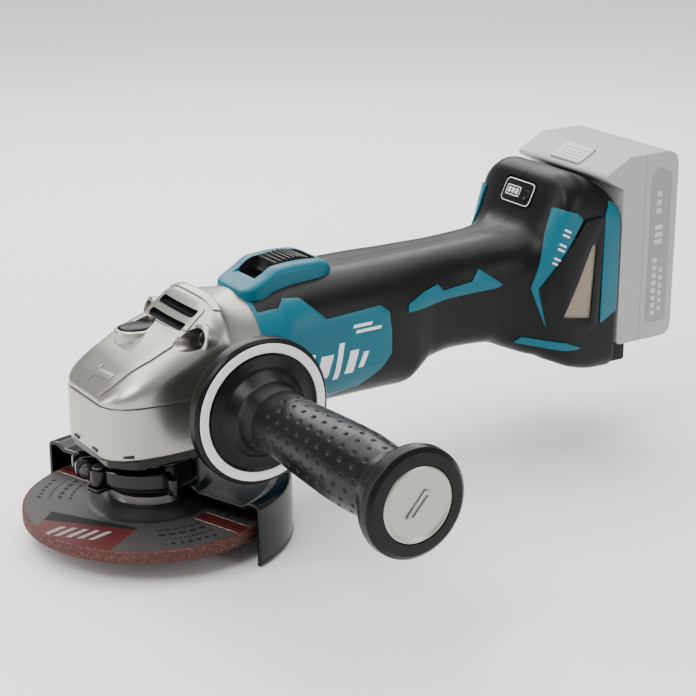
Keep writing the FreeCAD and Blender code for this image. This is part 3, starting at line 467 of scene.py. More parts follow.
def loft(name, table, mats, step=1.6, front_round=0.6, rear_round=0.6, angle=35.0):
    """A smooth body through sections (x, half, low, high, low round, high round, crown)."""
    x0, x1 = table[0][0], table[-1][0]
    rows = []
    for i in range(5):
        t = math.pi / 2 * (4 - i) / 4
        rows.append((x0 + front_round * (1 - math.sin(t)), front_round * (1 - math.cos(t))))
    count = max(2, int((x1 - x0 - front_round - rear_round) / step))
    for i in range(1, count):
        rows.append((x0 + front_round + (x1 - x0 - front_round - rear_round) * i / count, 0.0))
    for i in range(5):
        t = math.pi / 2 * i / 4
        rows.append((x1 - rear_round * (1 - math.sin(t)), rear_round * (1 - math.cos(t))))
    verts, faces = [], []
    size = None
    for x, inset in rows:
        half, low, high, low_round, high_round, crown = smooth_between(table, x)
        ring = outline(half - inset, low + inset, high - inset, max(low_round - inset, 0.2),
                       max(high_round - inset, 0.2), crown)
        size = len(ring)
        verts += [(x, y, z) for y, z in ring]
    for r in range(len(rows) - 1):
        for k in range(size):
            n = (k + 1) % size
            faces.append((r * size + k, r * size + n, (r + 1) * size + n, (r + 1) * size + k))
    faces.append(tuple(range(size))[::-1])
    faces.append(tuple((len(rows) - 1) * size + k for k in range(size)))
    return from_points(name, verts, faces, mats, angle=angle)


def round_profile(points, radius, closed=True, steps=4):
    """Rounds the corners of a list of 2-D points; a point may carry its own radius as a third value."""
    out = []
    count = len(points)
    for i, point in enumerate(points):
        r = point[2] if len(point) > 2 else radius
        p = Vector(point[:2])
        if (not closed and i in (0, count - 1)) or r <= 0:
            out.append(tuple(p))
            continue
        a = Vector(points[i - 1][:2]) - p
        b = Vector(points[(i + 1) % count][:2]) - p
        la, lb = a.length, b.length
        if la < 1e-6 or lb < 1e-6:
            out.append(tuple(p))
            continue
        a.normalize()
        b.normalize()
        angle = math.acos(max(-1.0, min(1.0, a.dot(b))))
        if angle > math.radians(172) or angle < 1e-3:
            out.append(tuple(p))
            continue
        back = min(r / math.tan(angle / 2), la * 0.48, lb * 0.48)
        start, end = p + a * back, p + b * back
        for k in range(steps + 1):
            t = k / steps
            out.append(tuple((1 - t) ** 2 * start + 2 * t * (1 - t) * p + t ** 2 * end))
    return out


def lathe(name, profile, mats, segments=128, place=None, start=0.0, sweep=360.0, dent=None, angle=35.0, marks=None):
    """Turns a closed (radius, height) profile round the local Z axis."""
    full = sweep >= 359.9
    columns = segments if full else segments + 1
    verts, faces, kinds = [], [], []
    size = len(profile)
    for c in range(columns):
        a = math.radians(start + sweep * c / segments)
        for radius, height in profile:
            r = radius
            if dent:
                r = radius - dent(radius, height, a)
            verts.append((r * math.cos(a), r * math.sin(a), height))
    for c in range(segments):
        n = (c + 1) % columns
        for k in range(size):
            m = (k + 1) % size
            faces.append((c * size + k, n * size + k, n * size + m, c * size + m))
            if marks:
                a = start + sweep * (c + 0.5) / segments
                mid = [(profile[k][j] + profile[m][j]) / 2 for j in (0, 1)]
                kinds.append(marks(mid[0], mid[1], a))
    if not full:
        faces.append(tuple(range(size)))
        faces.append(tuple((columns - 1) * size + k for k in reversed(range(size))))
        if marks:
            kinds += [0, 0]
    if place:
        verts = [tuple(place @ Vector(v)) for v in verts]
    return from_points(name, verts, faces, mats, kinds or None, angle)


def prism(name, points, low, high, mats, plane="xz", place=None, edge=0.0, segments=3):
    """A plate from a closed outline; plane says which two axes the outline uses."""
    order = {"xz": lambda a, b, c: (a, c, b), "xy": lambda a, b, c: (a, b, c), "yz": lambda a, b, c: (c, a, b)}[plane]
    count = len(points)
    verts = [order(p[0], p[1], low) for p in points] + [order(p[0], p[1], high) for p in points]
    if place:
        verts = [tuple(place @ Vector(v)) for v in verts]
    faces = [tuple(range(count)), tuple(range(count, 2 * count))[::-1]]
    for i in range(count):
        n = (i + 1) % count
        faces.append((i, n, n + count, i + count))
    obj = from_points(name, verts, faces, mats)
    if edge:
        bevel(obj, edge, segments)
    return obj


def inside(points, x, y):
    hit = False
    count = len(points)
    for i in range(count):
        x0, y0 = points[i][0], points[i][1]
        x1, y1 = points[(i + 1) % count][0], points[(i + 1) % count][1]
        if (y0 > y) != (y1 > y) and x < (x1 - x0) * (y - y0) / (y1 - y0) + x0:
            hit = not hit
    return hit


def patch(source, name, points, side, key, thick=0.8, sink=0.6, edge=0.25, plane="side", holes=()):
    """A raised piece that follows the source's surface inside an outline.

    plane "side" reads the outline as (x, z) on the given side of the tool; "top" as (x, y) seen from above.
    """
    bm = bmesh.new()
    bm.from_mesh(source.data)
    bm.normal_update()
    flat = (lambda v: (v.x / MM, v.z / MM)) if plane == "side" else (lambda v: (v.x / MM, v.y / MM))
    xs = [p[0] for p in points]
    ys = [p[1] for p in points]
    margin = 4.0
    drop = []
    for face in bm.faces:
        us, ws = zip(*[flat(v.co) for v in face.verts])
        away = max(us) < min(xs) - margin or min(us) > max(xs) + margin or max(ws) < min(ys) - margin
        away = away or min(ws) > max(ys) + margin
        if plane == "side":
            away = away or face.normal.y * side < 0.02 or abs(face.normal.x) > 0.97
        else:
            away = away or face.normal.z < 0.05
        if away:
            drop.append(face)
    bmesh.ops.delete(bm, geom=drop, context="FACES")
    for loop in (points,) + tuple(holes):
        for i in range(len(loop)):
            a, b = loop[i], loop[(i + 1) % len(loop)]
            dx, dy = b[0] - a[0], b[1] - a[1]
            length = math.hypot(dx, dy)
            if length < 1e-6:
                continue
            if plane == "side":
                co = Vector((a[0] * MM, 0, a[1] * MM))
                no = Vector((-dy / length, 0, dx / length))
            else:
                co = Vector((a[0] * MM, a[1] * MM, 0))
                no = Vector((-dy / length, dx / length, 0))
            near = []
            for face in bm.faces:
                us, ws = zip(*[flat(v.co) for v in face.verts])
                if (max(us) > min(a[0], b[0]) - 1 and min(us) < max(a[0], b[0]) + 1
                        and max(ws) > min(a[1], b[1]) - 1 and min(ws) < max(a[1], b[1]) + 1):
                    near.append(face)
            geom = list({v for f in near for v in f.verts}) + list({e for f in near for e in f.edges}) + near
            bmesh.ops.bisect_plane(bm, geom=geom, dist=1e-7, plane_co=co, plane_no=no)
    drop = []
    for face in bm.faces:
        u, w = flat(face.calc_center_median())
        if not inside(points, u, w) or any(inside(hole, u, w) for hole in holes):
            drop.append(face)
    bmesh.ops.delete(bm, geom=drop, context="FACES")
    if not bm.faces:
        raise RuntimeError("nothing of the surface lies inside " + name)
    bmesh.ops.remove_doubles(bm, verts=bm.verts, dist=2e-6)
    bmesh.ops.dissolve_limit(bm, angle_limit=math.radians(0.5), verts=bm.verts, edges=bm.edges)
    bm.normal_update()
    move = {v: v.normal.copy() for v in bm.verts}
    top = list(bm.faces)
    rim = [e for e in bm.edges if e.is_boundary]
    low = {}
    for v in list(bm.verts):
        low[v] = bm.verts.new(v.co - move[v] * sink * MM)
    for v, n in move.items():
        v.co += n * thick * MM
    for face in top:
        bm.faces.new([low[v] for v in reversed(face.verts)])
    for e in rim:
        loop = e.link_loops[0]
        a, b = loop.vert, loop.link_loop_next.vert
        bm.faces.new([b, a, low[a], low[b]])
    bmesh.ops.recalc_face_normals(bm, faces=bm.faces)
    for face in bm.faces:
        face.material_index = 0
    mesh = bpy.data.meshes.new(name)
    bm.to_mesh(mesh)
    bm.free()
    mesh.materials.append(material(key))
    obj = make_object(name, mesh)
    if edge:
        mod = obj.modifiers.new("edges", "BEVEL")
        mod.width = edge * MM
        mod.segments = 2
        mod.limit_method = "ANGLE"
        mod.angle_limit = math.radians(55)
        apply_modifiers(obj)
    shade(obj, 40.0)
    return obj


def set_up(obj, body, nodes=(), slot=None):
    """Hangs a piece on its body, and says which CAD nodes it stands for."""
    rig.ride(obj, body)
    if nodes:
        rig.replaces(obj, *nodes)
    if slot:
        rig.slot(obj, slot)
    return obj


# ------------------------------------------------------------------ settings
class GrinderSizes(bpy.types.PropertyGroup):
    motor_height: bpy.props.FloatProperty(name="Motor axis height", description="Height of the motor axis", default=0.073, unit="LENGTH")
    wheel_radius: bpy.props.FloatProperty(name="Wheel radius", description="Radius of the grinding wheel", default=0.0625, unit="LENGTH")
    guard_radius: bpy.props.FloatProperty(name="Guard radius", description="Outer radius of the guard", default=0.070, unit="LENGTH")
    flange_radius: bpy.props.FloatProperty(name="Handle flange", description="Radius of the side handle's flange", default=0.0355, unit="LENGTH")
    dimple_depth: bpy.props.FloatProperty(name="Dimple depth", description="Depth of the dimples in the grip", default=0.0006, unit="LENGTH")
    floor_height: bpy.props.FloatProperty(name="Floor height", description="Height of the floor", default=-0.0115, unit="LENGTH")


def colour(name, default):
    return bpy.props.FloatVectorProperty(name=name, description="Colour of the " + name.lower(), subtype="COLOR", default=default,
                                         min=0.0, max=1.0)


class GrinderColors(bpy.types.PropertyGroup):
    silver: colour("Cast gear head", (0.37, 0.355, 0.315))
    black: colour("Black plastic", (0.0030, 0.0028, 0.0027))
    rubber: colour("Black rubber", (0.0026, 0.0025, 0.0025))
    teal: colour("Teal plastic", (0.0006, 0.105, 0.150))
    # The guard coating colour also makes the painted shade on the bearing box and under the gear head.
    guard: colour("Guard coating", (0.0015, 0.0015, 0.0015))
    battery: colour("Battery case", (0.34, 0.34, 0.34))
    abrasive: colour("Abrasive", (0.052, 0.0095, 0.0058))
    label: colour("Wheel label", (0.034, 0.033, 0.031))
    mesh: colour("Dust screen", (0.30, 0.25, 0.19))


# ------------------------------------------------------------------ shared surfaces
HOOD = [
    # x, half width, low, high, low round, high round, crown
    (-32.6, 16.5, 66.6, 69.0, 0.8, 1.2, 0.3), (-31.6, 20.0, 66.5, 70.6, 0.8, 2.5, 0.5),
    (-29.0, 24.4, 66.5, 73.0, 0.8, 5.0, 0.8), (-26.0, 27.2, 66.5, 75.8, 0.8, 7.5, 1.0),
    (-21.0, 29.6, 66.5, 79.4, 0.8, 10.0, 1.2), (-17.0, 30.8, 66.5, 82.2, 0.8, 12.0, 1.4),
    (-5.0, 32.3, 66.5, 88.7, 0.8, 15.0, 1.6), (8.0, 32.8, 66.5, 95.2, 0.8, 17.0, 1.8),
    (13.0, 32.9, 66.5, 98.6, 0.8, 18.0, 1.8), (17.0, 33.0, 66.5, 102.0, 0.8, 19.5, 1.8),
    (21.0, 33.2, 66.5, 105.2, 0.8, 21.0, 1.6), (22.6, 33.3, 66.0, 106.4, 1.0, 21.6, 1.5),
    (24.0, 33.35, 40.6, 107.3, 11.0, 22.2, 1.5), (26.0, 33.4, 39.8, 108.4, 13.0, 23.0, 1.4),
    (28.6, 33.5, 39.6, 109.0, 16.0, 24.5, 1.2), (30.6, 33.5, 39.5, 107.4, 19.0, 26.0, 0.8),
    (34.0, 33.6, 39.4, 106.9, 23.0, 28.5, 0.4), (41.0, 33.7, 39.3, 106.7, 31.0, 31.5, 0.1),
    (48.0, 33.7, 39.3, 106.7, 33.4, 33.5, 0.0),
]
BAND = [
    (-33.0, 16.5, 40.3, 66.2, 1.2, 0.4, 0.0), (-31.8, 20.5, 40.3, 66.2, 1.2, 0.4, 0.0),
    (-29.0, 24.6, 40.3, 66.2, 1.2, 0.4, 0.0), (-26.0, 27.0, 40.3, 66.2, 1.2, 0.4, 0.0),
    (-21.0, 29.2, 40.3, 66.2, 1.2, 0.4, 0.0), (-17.0, 30.4, 40.3, 66.2, 1.2, 0.4, 0.0),
    (-5.0, 31.8, 40.3, 66.2, 1.2, 0.4, 0.0), (8.0, 32.2, 40.3, 66.2, 1.5, 0.4, 0.0),
    (24.0, 32.6, 40.3, 66.2, 8.0, 0.4, 0.0),
]
BODY = [
    (48.6, 32.6, 40.4, 105.8, 32.4, 32.4, 0.0), (56.0, 32.6, 40.4, 107.0, 32.4, 30.0, 0.0),
    (64.0, 32.5, 40.4, 109.2, 32.0, 26.0, 0.0), (80.0, 32.0, 40.5, 110.6, 31.0, 24.0, 0.0),
    (110.0, 31.4, 41.0, 110.8, 29.0, 23.0, 0.0), (128.0, 30.5, 42.0, 111.0, 25.0, 23.0, 0.0),
    (138.0, 29.5, 43.5, 111.0, 20.0, 23.0, 0.0), (146.0, 27.6, 49.0, 111.0, 17.0, 21.0, 0.0),
    (152.0, 26.4, 53.4, 111.1, 16.0, 20.0, 0.0), (170.0, 25.5, 56.0, 111.3, 16.0, 20.0, 0.0),
    (192.0, 26.0, 55.0, 112.0, 16.0, 20.0, 0.0), (205.0, 28.4, 50.2, 112.5, 14.5, 20.0, 0.0),
    (213.0, 31.4, 47.2, 114.0, 13.0, 20.0, 0.0), (218.0, 33.6, 46.0, 118.5, 12.0, 20.0, 0.0),
    (223.0, 35.4, 43.5, 129.5, 11.0, 19.0, 0.0), (229.0, 37.0, 41.0, 141.0, 10.0, 18.0, 0.0),
    (236.0, 37.7, 38.0, 143.3, 9.0, 18.0, 0.0), (250.0, 37.8, 34.6, 138.8, 9.0, 18.0, 0.0),
    (262.0, 37.7, 34.0, 131.2, 9.0, 18.0, 0.0),
]


def box_points(x0, x1, y0, y1):
    return [(x0, y0), (x1, y0), (x1, y1), (x0, y1)]


def ellipse(cx, cy, a, b, count=40):
    return [(cx + a * math.cos(2 * math.pi * i / count), cy + b * math.sin(2 * math.pi * i / count))
            for i in range(count)]


def surface_height(table, x, y):
    """Height of a lofted body's top at a place, in millimetres."""
    half, low, high, low_round, high_round, crown = smooth_between(table, x)
    edge = half - high_round
    z = high
    if abs(y) > edge:
        z = high - high_round + math.sqrt(max(0.0, high_round ** 2 - (abs(y) - edge) ** 2))
    return z - crown * (y / half) ** 2


def along(axis, x, y, z, turn=0.0):
    """Puts local Z along an axis from a point in millimetres."""
    direction = Vector(axis).normalized()
    spin = direction.to_track_quat("Z", "Y").to_matrix().to_4x4()
    return Matrix.Translation((x, y, z)) @ spin @ Matrix.Rotation(math.radians(turn), 4, "Z")


def disc_profile(radius, low, high, edge=0.4, bore=0.0):
    """A closed profile for a plain disc or ring with eased edges."""
    inner = max(bore, 0.001)
    points = [(inner, low, 0 if bore == 0 else edge), (radius, low, edge), (radius, high, edge),
              (inner, high, 0 if bore == 0 else edge)]
    return round_profile(points, edge)


# ------------------------------------------------------------------ gear head
def build_gear_head():
    hood = loft("gear_head_hood", HOOD, ["silver"], step=1.1, front_round=0.6, rear_round=0.5, angle=32)
    band = loft("gear_head_band", BAND, ["silver"], step=1.1, front_round=0.5, rear_round=0.5, angle=32)
    z0 = bpy.context.scene.grinder_sizes.motor_height / MM

    rise = math.sqrt(30.8 ** 2 - 24.5 ** 2)
    bosses = []
    for side in (1, -1):
        cup = round_profile([(0.001, -10, 0), (7.6, -10, 2), (7.2, 7.5, 1.8), (0.001, 7.5, 0)], 1.0)
        bosses.append(lathe("screw_cup", cup, ["silver"], 56, along((-1, side * 0.2, 0.3), 22.0, side * 24.5, z0 + rise)))
        boss = round_profile([(0.001, 0, 0), (13.0, 0, 2), (11.0, 11.4, 1.2), (0.001, 11.4, 0)], 1.0)
        bosses.append(lathe("handle_boss", boss, ["silver"], 64, along((0, side, 0), 26.7, side * 28.6, 67)))

    cutters = []
    # Painted shade: the vent cutters carry a near-black material, so the slot walls they leave show the shade inside
    # the vents.
    for level in (95.9, 101.3):
        slot = prism("vent", round_profile(box_points(-18, 15, level, level + 3.1), 1.3), -8, 29.5, ["dark_print_and_painted_shade"], "yz")
        cutters.append(slot)
    for side in (1, -1):
        bore = disc_profile(4.15, 0, 5.6, 0.2)
        cutters.append(lathe("pocket", bore, ["silver"], 56, along((-1, 0, 0), 24.4, side * 24.5, z0 + rise)))
        scoop = round_profile([(0.001, 0, 0), (4.6, 0, 1.6), (5.4, 6.0, 0), (8.6, 24.0, 0), (0.001, 24.0, 0)], 1.0)
        cutters.append(lathe("scoop", scoop, ["silver"], 56, along((-1, side * 0.2, 0.3), 20.6, side * 24.5, z0 + rise)))
        low_side = side * 20.0
        drop = math.sqrt(30.8 ** 2 - 20.0 ** 2)
        low_pocket = prism("low_pocket", round_profile(box_points(low_side - 3.9, low_side + 3.9, 36, z0 - drop + 3.9), 0.5),
                           24, 29.6, ["silver"], "yz")
        cutters.append(low_pocket)
        hole = lathe("stud_hole", disc_profile(4.1, 0, 16, 0.2), ["dark_steel"], 40,
                     along((0, side, 0), 26.7, side * 26.0, 67))
        cutters.append(hole)
    well = prism("button_well", ellipse(0, 8, 9.7, 7.7), 80, 110, ["silver"], "xy")
    cutters.append(well)
    cutters.append(lathe("motor_room", disc_profile(29.2, 0, 12, 0.2), ["dark_steel"], 64, along((1, 0, 0), 40, 0, z0)))
    cutters.append(lathe("gear_room", disc_profile(27.0, 0, 31, 0.2), ["dark_steel"], 64, along((0, 0, 1), 0, 0, 39)))
    cutters.append(lathe("pinion_room", disc_profile(10.6, 0, 30, 0.2), ["dark_steel"], 64, along((1, 0, 0), 12, 0, z0)))
    cutters.append(lathe("top_room", disc_profile(9.6, 0, 12, 0.2), ["dark_steel"], 64, along((0, 0, 1), 0, 0, 69.5)))

    panel_points = round_profile([(-31.9, -14), (-25, -18.5), (-8, -22.0), (4, -22.5), (8.6, -20), (8.6, 18), (4, 20.5),
                                  (-6, 21.0), (-25, 18.5), (-31.9, 14)], 2.2)
    panel = patch(hood, "hood_panel", panel_points, 1, "silver", 0.9, 0.8, 0.45, "top")
    frame_points = round_profile([(11.0, -20.6), (22.8, -19.6), (24.0, -15), (24.0, 13), (22.8, 17.6), (11.0, 18.6)], 2.0)
    frame = patch(hood, "vent_frame", frame_points, 1, "silver", 0.7, 0.8, 0.4, "top")
    rib_points = round_profile([(25.4, -22), (29.4, -23.5), (30.2, -20), (30.2, 20), (29.4, 23.5), (25.4, 22)], 1.2)
    rib = patch(hood, "rear_rib", rib_points, 1, "silver", 0.8, 0.8, 0.5, "top")
    collar = prism("button_collar", ellipse(0, 8, 11.4, 9.4, 56), 82, 92.8, ["silver"], "xy", edge=1.0)

    arrow = [(-26.0, -13.6), (-22.8, -13.2), (-24.0, 0.4), (-21.2, 0.0), (-27.0, 8.4), (-30.0, 1.2), (-27.4, 0.9)]
    mark = patch(panel, "turn_arrow", round_profile(arrow, 0.5), 1, "silver", 0.45, 0.3, 0.2, "top")

    head = [cut_away(piece, cutters, 32) for piece in (hood, band)]
    extra = [cut_away(piece, cutters, 32) for piece in [panel, frame, collar] + bosses]
    shelf = prism("button_floor", ellipse(0, 8, 9.69, 7.69), 79.2, 85.0, ["silver"], "xy")
    whole = join("gear_head", head + extra + [rib, mark, shelf])
    shade(whole, 32)
    set_up(whole, "tool_body", ("gear_housing",), "gear_head")
    remove(cutters)

    # Painted shade: gloss black bars stand for the shaded insides of slits low on the band, and a gloss black ring
    # below the band darkens the gap under the gear head.
    shade_pieces = []
    for x, y, turn in ((-24.2, -27.9, 33), (-24.2, 27.9, -33), (-33.2, 10, 90), (-33.2, -10, 90)):
        piece = prism("slit", round_profile(box_points(-2.6, 2.6, -0.5, 0.5), 0.2), -0.5, 0.7, ["gloss_black_and_painted_shade"], "xy",
                      Matrix.Translation((x, y, 42.6)) @ Matrix.Rotation(math.radians(-turn), 4, "Z"))
        shade_pieces.append(piece)
    gap_shade_table = [(x, half - 0.7, 39.4, 41.2, 0.3, 0.3, 0.0) for x, half, *_ in BAND[:-1]]
    shade_pieces.append(loft("gap_shade_ring", gap_shade_table, ["gloss_black_and_painted_shade"], 2.0, 0.2, 0.2))
    shade_pieces[-1] = cut_away(shade_pieces[-1], [])
    dark = join("gear_head_painted_shade", shade_pieces)
    shade(dark)
    set_up(dark, "tool_body", (), "guard_black")

    top = surface_height(HOOD, 0, 8)
    button = prism("shaft_lock_button", ellipse(0, 8, 9.0, 7.0, 56), 89.3, top + 2.4, ["black"], "xy", edge=1.1)
    for v in button.data.vertices:
        if v.co.z > 0.091:
            r = math.hypot(v.co.x / 9.0, (v.co.y - 0.008) / 7.0) / MM
            v.co.z += 0.0008 * (1 - r * r)
    set_up(button, "shaft_lock", ("lock_button",), "black_plastic")

    coil = spring("lock_coil", 2.65, 0.34, 85.4, 88.8, 4.0, Matrix.Translation((0, 7, 0)))
    set_up(coil, "tool_body", ("lock_spring",), "steel")
    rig.squash(coil, "lock_press", axis=(0, 0, 1), anchor=(0, 0.007, 0.085), keep=0.05)


# ------------------------------------------------------------------ motor body and rear handle
TEAL_SIDE = [(48.7, 98.5), (52.0, 98.8), (60.0, 100.0), (63.5, 104.0), (71.5, 103.4), (83.0, 92.5), (115.0, 94.0),
             (120.0, 90.0), (121.6, 79.0), (121.6, 68.0), (116.0, 60.5), (105.0, 52.4), (92.0, 50.2), (84.0, 40.0),
             (84.0, 30.0), (48.7, 30.0)]
ACCENT = [(132.0, 87.0), (132.4, 91.0), (143.0, 95.0), (153.0, 97.0), (156.5, 93.2), (175.0, 94.6), (180.0, 100.2),
          (194.5, 90.2), (190.0, 89.0), (160.0, 88.6), (147.0, 87.4)]
STRIPE = [(224.0, 128.0), (233.0, 125.0), (236.5, 121.5), (216.5, 86.0), (220.5, 66.5), (217.6, 64.5), (209.6, 86.7)]
FRAME = [(238.4, 120.4), (250.6, 121.4), (248.6, 62.0), (241.5, 57.6), (217.8, 64.8), (213.6, 86.0)]
SCREEN = [(243.0, 107.0), (246.0, 107.0), (243.6, 66.2), (226.4, 69.2)]
REAR_EDGE = [(251.4, 121.4), (256.0, 128.0), (261.7, 124.0), (261.7, 68.0), (250.6, 62.0)]
BOTTOM_SLIVER = [(203.0, 57.0), (206.0, 60.0), (229.0, 54.6), (240.0, 50.0), (229.0, 50.4)]


def build_body():
    body = loft("body_surface", BODY, ["black"], step=1.5, front_round=0.4, rear_round=1.0)
    pieces = []
    motor = []
    for side in (-1, 1):
        word = "left" if side < 0 else "right"
        teal = patch(body, "motor_side_" + word, round_profile(TEAL_SIDE, 1.6), side, "teal", 0.55, 0.6, 0.2)
        motor.append(teal)
        accent = patch(body, "accent_" + word, round_profile(ACCENT, 0.9), side, "teal", 0.75, 0.6, 0.3)
        pieces.append((accent, "accent_strips", "teal_plastic"))
        stripe = patch(body, "stripe_" + word, round_profile(STRIPE, 1.0), side, "teal", 0.9, 0.6, 0.3)
        edge = patch(body, "rear_edge_" + word, round_profile(REAR_EDGE, 1.0), side, "teal", 0.9, 0.6, 0.3)
        sliver = patch(body, "sliver_" + word, round_profile(BOTTOM_SLIVER, 0.8), side, "teal", 0.9, 0.6, 0.3)
        ticks = []
        for k in range(9):
            t = 0.08 + k * 0.092
            x, z = 219.5 + (228.5 - 219.5) * (1 - t), 92.0 + (119.0 - 92.0) * (1 - t)
            if k % 3 == 2:
                continue
            mark = [(x - 2.0, z + 1.0), (x + 1.6, z - 1.0), (x + 1.1, z - 1.9), (x - 2.5, z + 0.1)]
            ticks.append(patch(stripe, "tick", mark, side, "white", 0.08, 0.05, 0.0))
        trim = join("rear_trim_" + word, [stripe, edge, sliver] + ticks)
        shade(trim, 40)
        pieces.append((trim, "rear_trims", "teal_plastic"))
        hole = round_profile(SCREEN, 1.2)
        frame = patch(body, "cover_" + word, round_profile(FRAME, 1.6), side, "black", 1.5, 0.6, 0.5, holes=(hole,))
        pieces.append((frame, "dust_covers", "black_plastic"))
        screen = patch(body, "screen_" + word, round_profile(SCREEN, 1.2), side, "mesh", 0.6, 0.5, 0.15)
        pieces.append((screen, "dust_meshes", "mesh_plastic"))

        marks = []
        for k, (x, width, low, high) in enumerate(((62, 5, 62, 74), (70, 3, 60, 76), (76.5, 7, 62, 74), (87, 3, 60, 79),
                                                   (93.5, 5, 62, 74), (101.5, 3, 64, 72))):
            lean = 3.0
            bar = [(x, low), (x + width, low), (x + width + lean, high), (x + lean, high)]
            marks.append(patch(teal, "bar", bar, side, "white", 0.07, 0.05, 0.0))
        for x, z, w in ((98, 85.4, 11), (99.6, 82.4, 15)):
            bar = [(x, z), (x + w, z), (x + w + 0.6, z + 1.6), (x + 0.6, z + 1.6)]
            marks.append(patch(teal, "bar", bar, side, "white", 0.07, 0.05, 0.0))
        label = join("motor_marks_" + word, marks)
        set_up(label, "tool_body", (), "white_plastic")

    ring = lathe("joint_ring", round_profile([(29.0, 48.1), (33.3, 48.1), (33.3, 50.6), (29.0, 50.6)], 0.4), ["teal"], 128,
                 along((1, 0, 0), 0, 0, 73))
    teal_case = join("motor_case", motor + [ring])
    shade(teal_case, 40)
    set_up(teal_case, "tool_body", ("motor_housing",), "teal_plastic")

    for node in ("accent_strips", "rear_trims", "dust_covers", "dust_meshes"):
        group = [(p, s) for p, n, s in pieces if n == node]
        whole = join(node + "_detail", [p for p, _ in group])
        shade(whole, 40)
        set_up(whole, "tool_body", (node,), group[0][1])

    foot = prism("foot", round_profile([(259, 34.6), (276.6, 34.6), (276.6, 46.0), (259, 46.0)], 1.6), -30, 30, ["black"],
                 "xz", edge=0.8)
    grooves = []
    for x in (266.0, 270.0, 274.0):
        grooves.append(prism("groove", box_points(x, x + 1.2, 45.4, 47.0), -26, 26, ["black"], "xz"))
    foot = cut_away(foot, grooves)
    remove(grooves)

    cutters = [
        prism("link_slot", box_points(-4, 4, 104, 113), 96, 158, ["dark_steel"], "yz"),
        prism("block_seat", box_points(-20.3, 20.3, 59.7, 112.3), 251, 263, ["dark_steel"], "yz"),
    ]
    place = panel_place()
    seat = prism("panel_seat", round_profile(box_points(-7.8, 7.8, -13.3, 13.3), 4.0), -1.1, 6, ["black"], "xy", place)
    cutters.append(seat)
    body.data.materials.append(material("dark_steel"))
    remove([cutters.pop(0)])
    body = cut_away(body, cutters, 35)
    for side in (-1, 1):
        word = "left" if side < 0 else "right"
        half = body.copy()
        half.data = body.data.copy()
        bpy.context.scene.collection.objects.link(half)
        bm = bmesh.new()
        bm.from_mesh(half.data)
        cut = bmesh.ops.bisect_plane(bm, geom=bm.verts[:] + bm.edges[:] + bm.faces[:], dist=1e-7,
                                     plane_co=(0, side * 0.00012, 0), plane_no=(0, -side, 0), clear_outer=True)
        rim = [g for g in cut["geom_cut"] if isinstance(g, bmesh.types.BMEdge)]
        bmesh.ops.holes_fill(bm, edges=rim)
        bmesh.ops.recalc_face_normals(bm, faces=bm.faces)
        bm.to_mesh(half.data)
        bm.free()
        half.name = "handle_half_" + word
        shade(half, 35)
        nodes = ("handle_shell_" + word, "motor_overmould") if side < 0 else ("handle_shell_" + word,)
        if side < 0:
            half = join("handle_half_left_", [half, foot])
            half.name = "handle_half_left"
            shade(half, 35)
        set_up(half, "tool_body", nodes, "black_plastic")
    remove([body, cutters[0], cutters[1]])

    screws = []
    for x, z, y in ((161, 64.5, -24.6), (182, 64.5, -24.2), (223.5, 54, -35.0), (243, 124, -36.4)):
        bar = round_profile([(0.001, 0, 0), (3.1, 0), (3.1, 1.0), (1.7, 1.2), (1.7, 0.5), (0.001, 0.5, 0)], 0.15)
        screws.append((x, y, z, bar))
    build_indicator(place)


def panel_place():
    """Flat on the slope in front of the hump, local Z outwards."""
    slope = math.atan2(22.5, 11.0)
    mid = Vector((223.5, 0, 129.8))
    return Matrix.Translation(mid) @ Matrix.Rotation(-slope, 4, "Y")


def build_indicator(place):
    base = prism("panel_base", round_profile(box_points(-7.4, 7.4, -12.9, 12.9), 3.8), -1.0, 0.7, ["black"], "xy", place, 0.3)
    glass = prism("panel_face", round_profile(box_points(-6.0, 6.0, -11.5, 11.5), 2.8), 0.5, 0.95, ["gloss_black_and_painted_shade"], "xy",
                  place, 0.2)
    frame = prism("panel_line", round_profile(box_points(-6.4, 6.4, -11.9, 11.9), 3.1), 0.5, 0.8, ["white"], "xy", place, 0.1)
    hole = lathe("hole", disc_profile(3.0, -4, 4, 0.1), ["black"], 40, place @ Matrix.Translation((0, -8, 0)))
    whole = join("indicator_panel_detail", [base, frame, glass])
    whole = cut_away(whole, [hole])
    remove([hole])
    set_up(whole, "tool_body", ("indicator_panel",), "panel_plastic")
    lamps = []
    cell = prism("cell_line", round_profile(box_points(-2.8, 2.8, -2.2, 9.2), 0.8), 0.9, 1.05, ["lens"], "xy", place)
    inner = prism("cell_inner", round_profile(box_points(-2.2, 2.2, -1.6, 8.6), 0.6), 0.9, 1.09, ["gloss_black_and_painted_shade"], "xy", place)
    lamps += [cell, inner]
    for k in range(3):
        y = 0.4 + k * 3.1
        lamps.append(prism("lamp", round_profile(box_points(-1.5, 1.5, y - 1.1, y + 1.1), 0.3), 0.9, 1.2, ["lens"], "xy", place))
    lights = join("indicator_lights_detail", lamps)
    set_up(lights, "tool_body", ("indicator_lights",), "light_lens")
    cap = round_profile([(0.001, -1.8, 0), (2.6, -1.8, 0.2), (2.6, 1.2, 0.5), (1.8, 1.35, 0.2), (1.6, 1.0, 0.2), (0.001, 0.95, 0)], 0.2)
    button = lathe("charge_check_button", cap, ["black"], 48, place @ Matrix.Translation((0, -8, 0)))
    set_up(button, "charge_check", ("check_button",), "black_plastic")


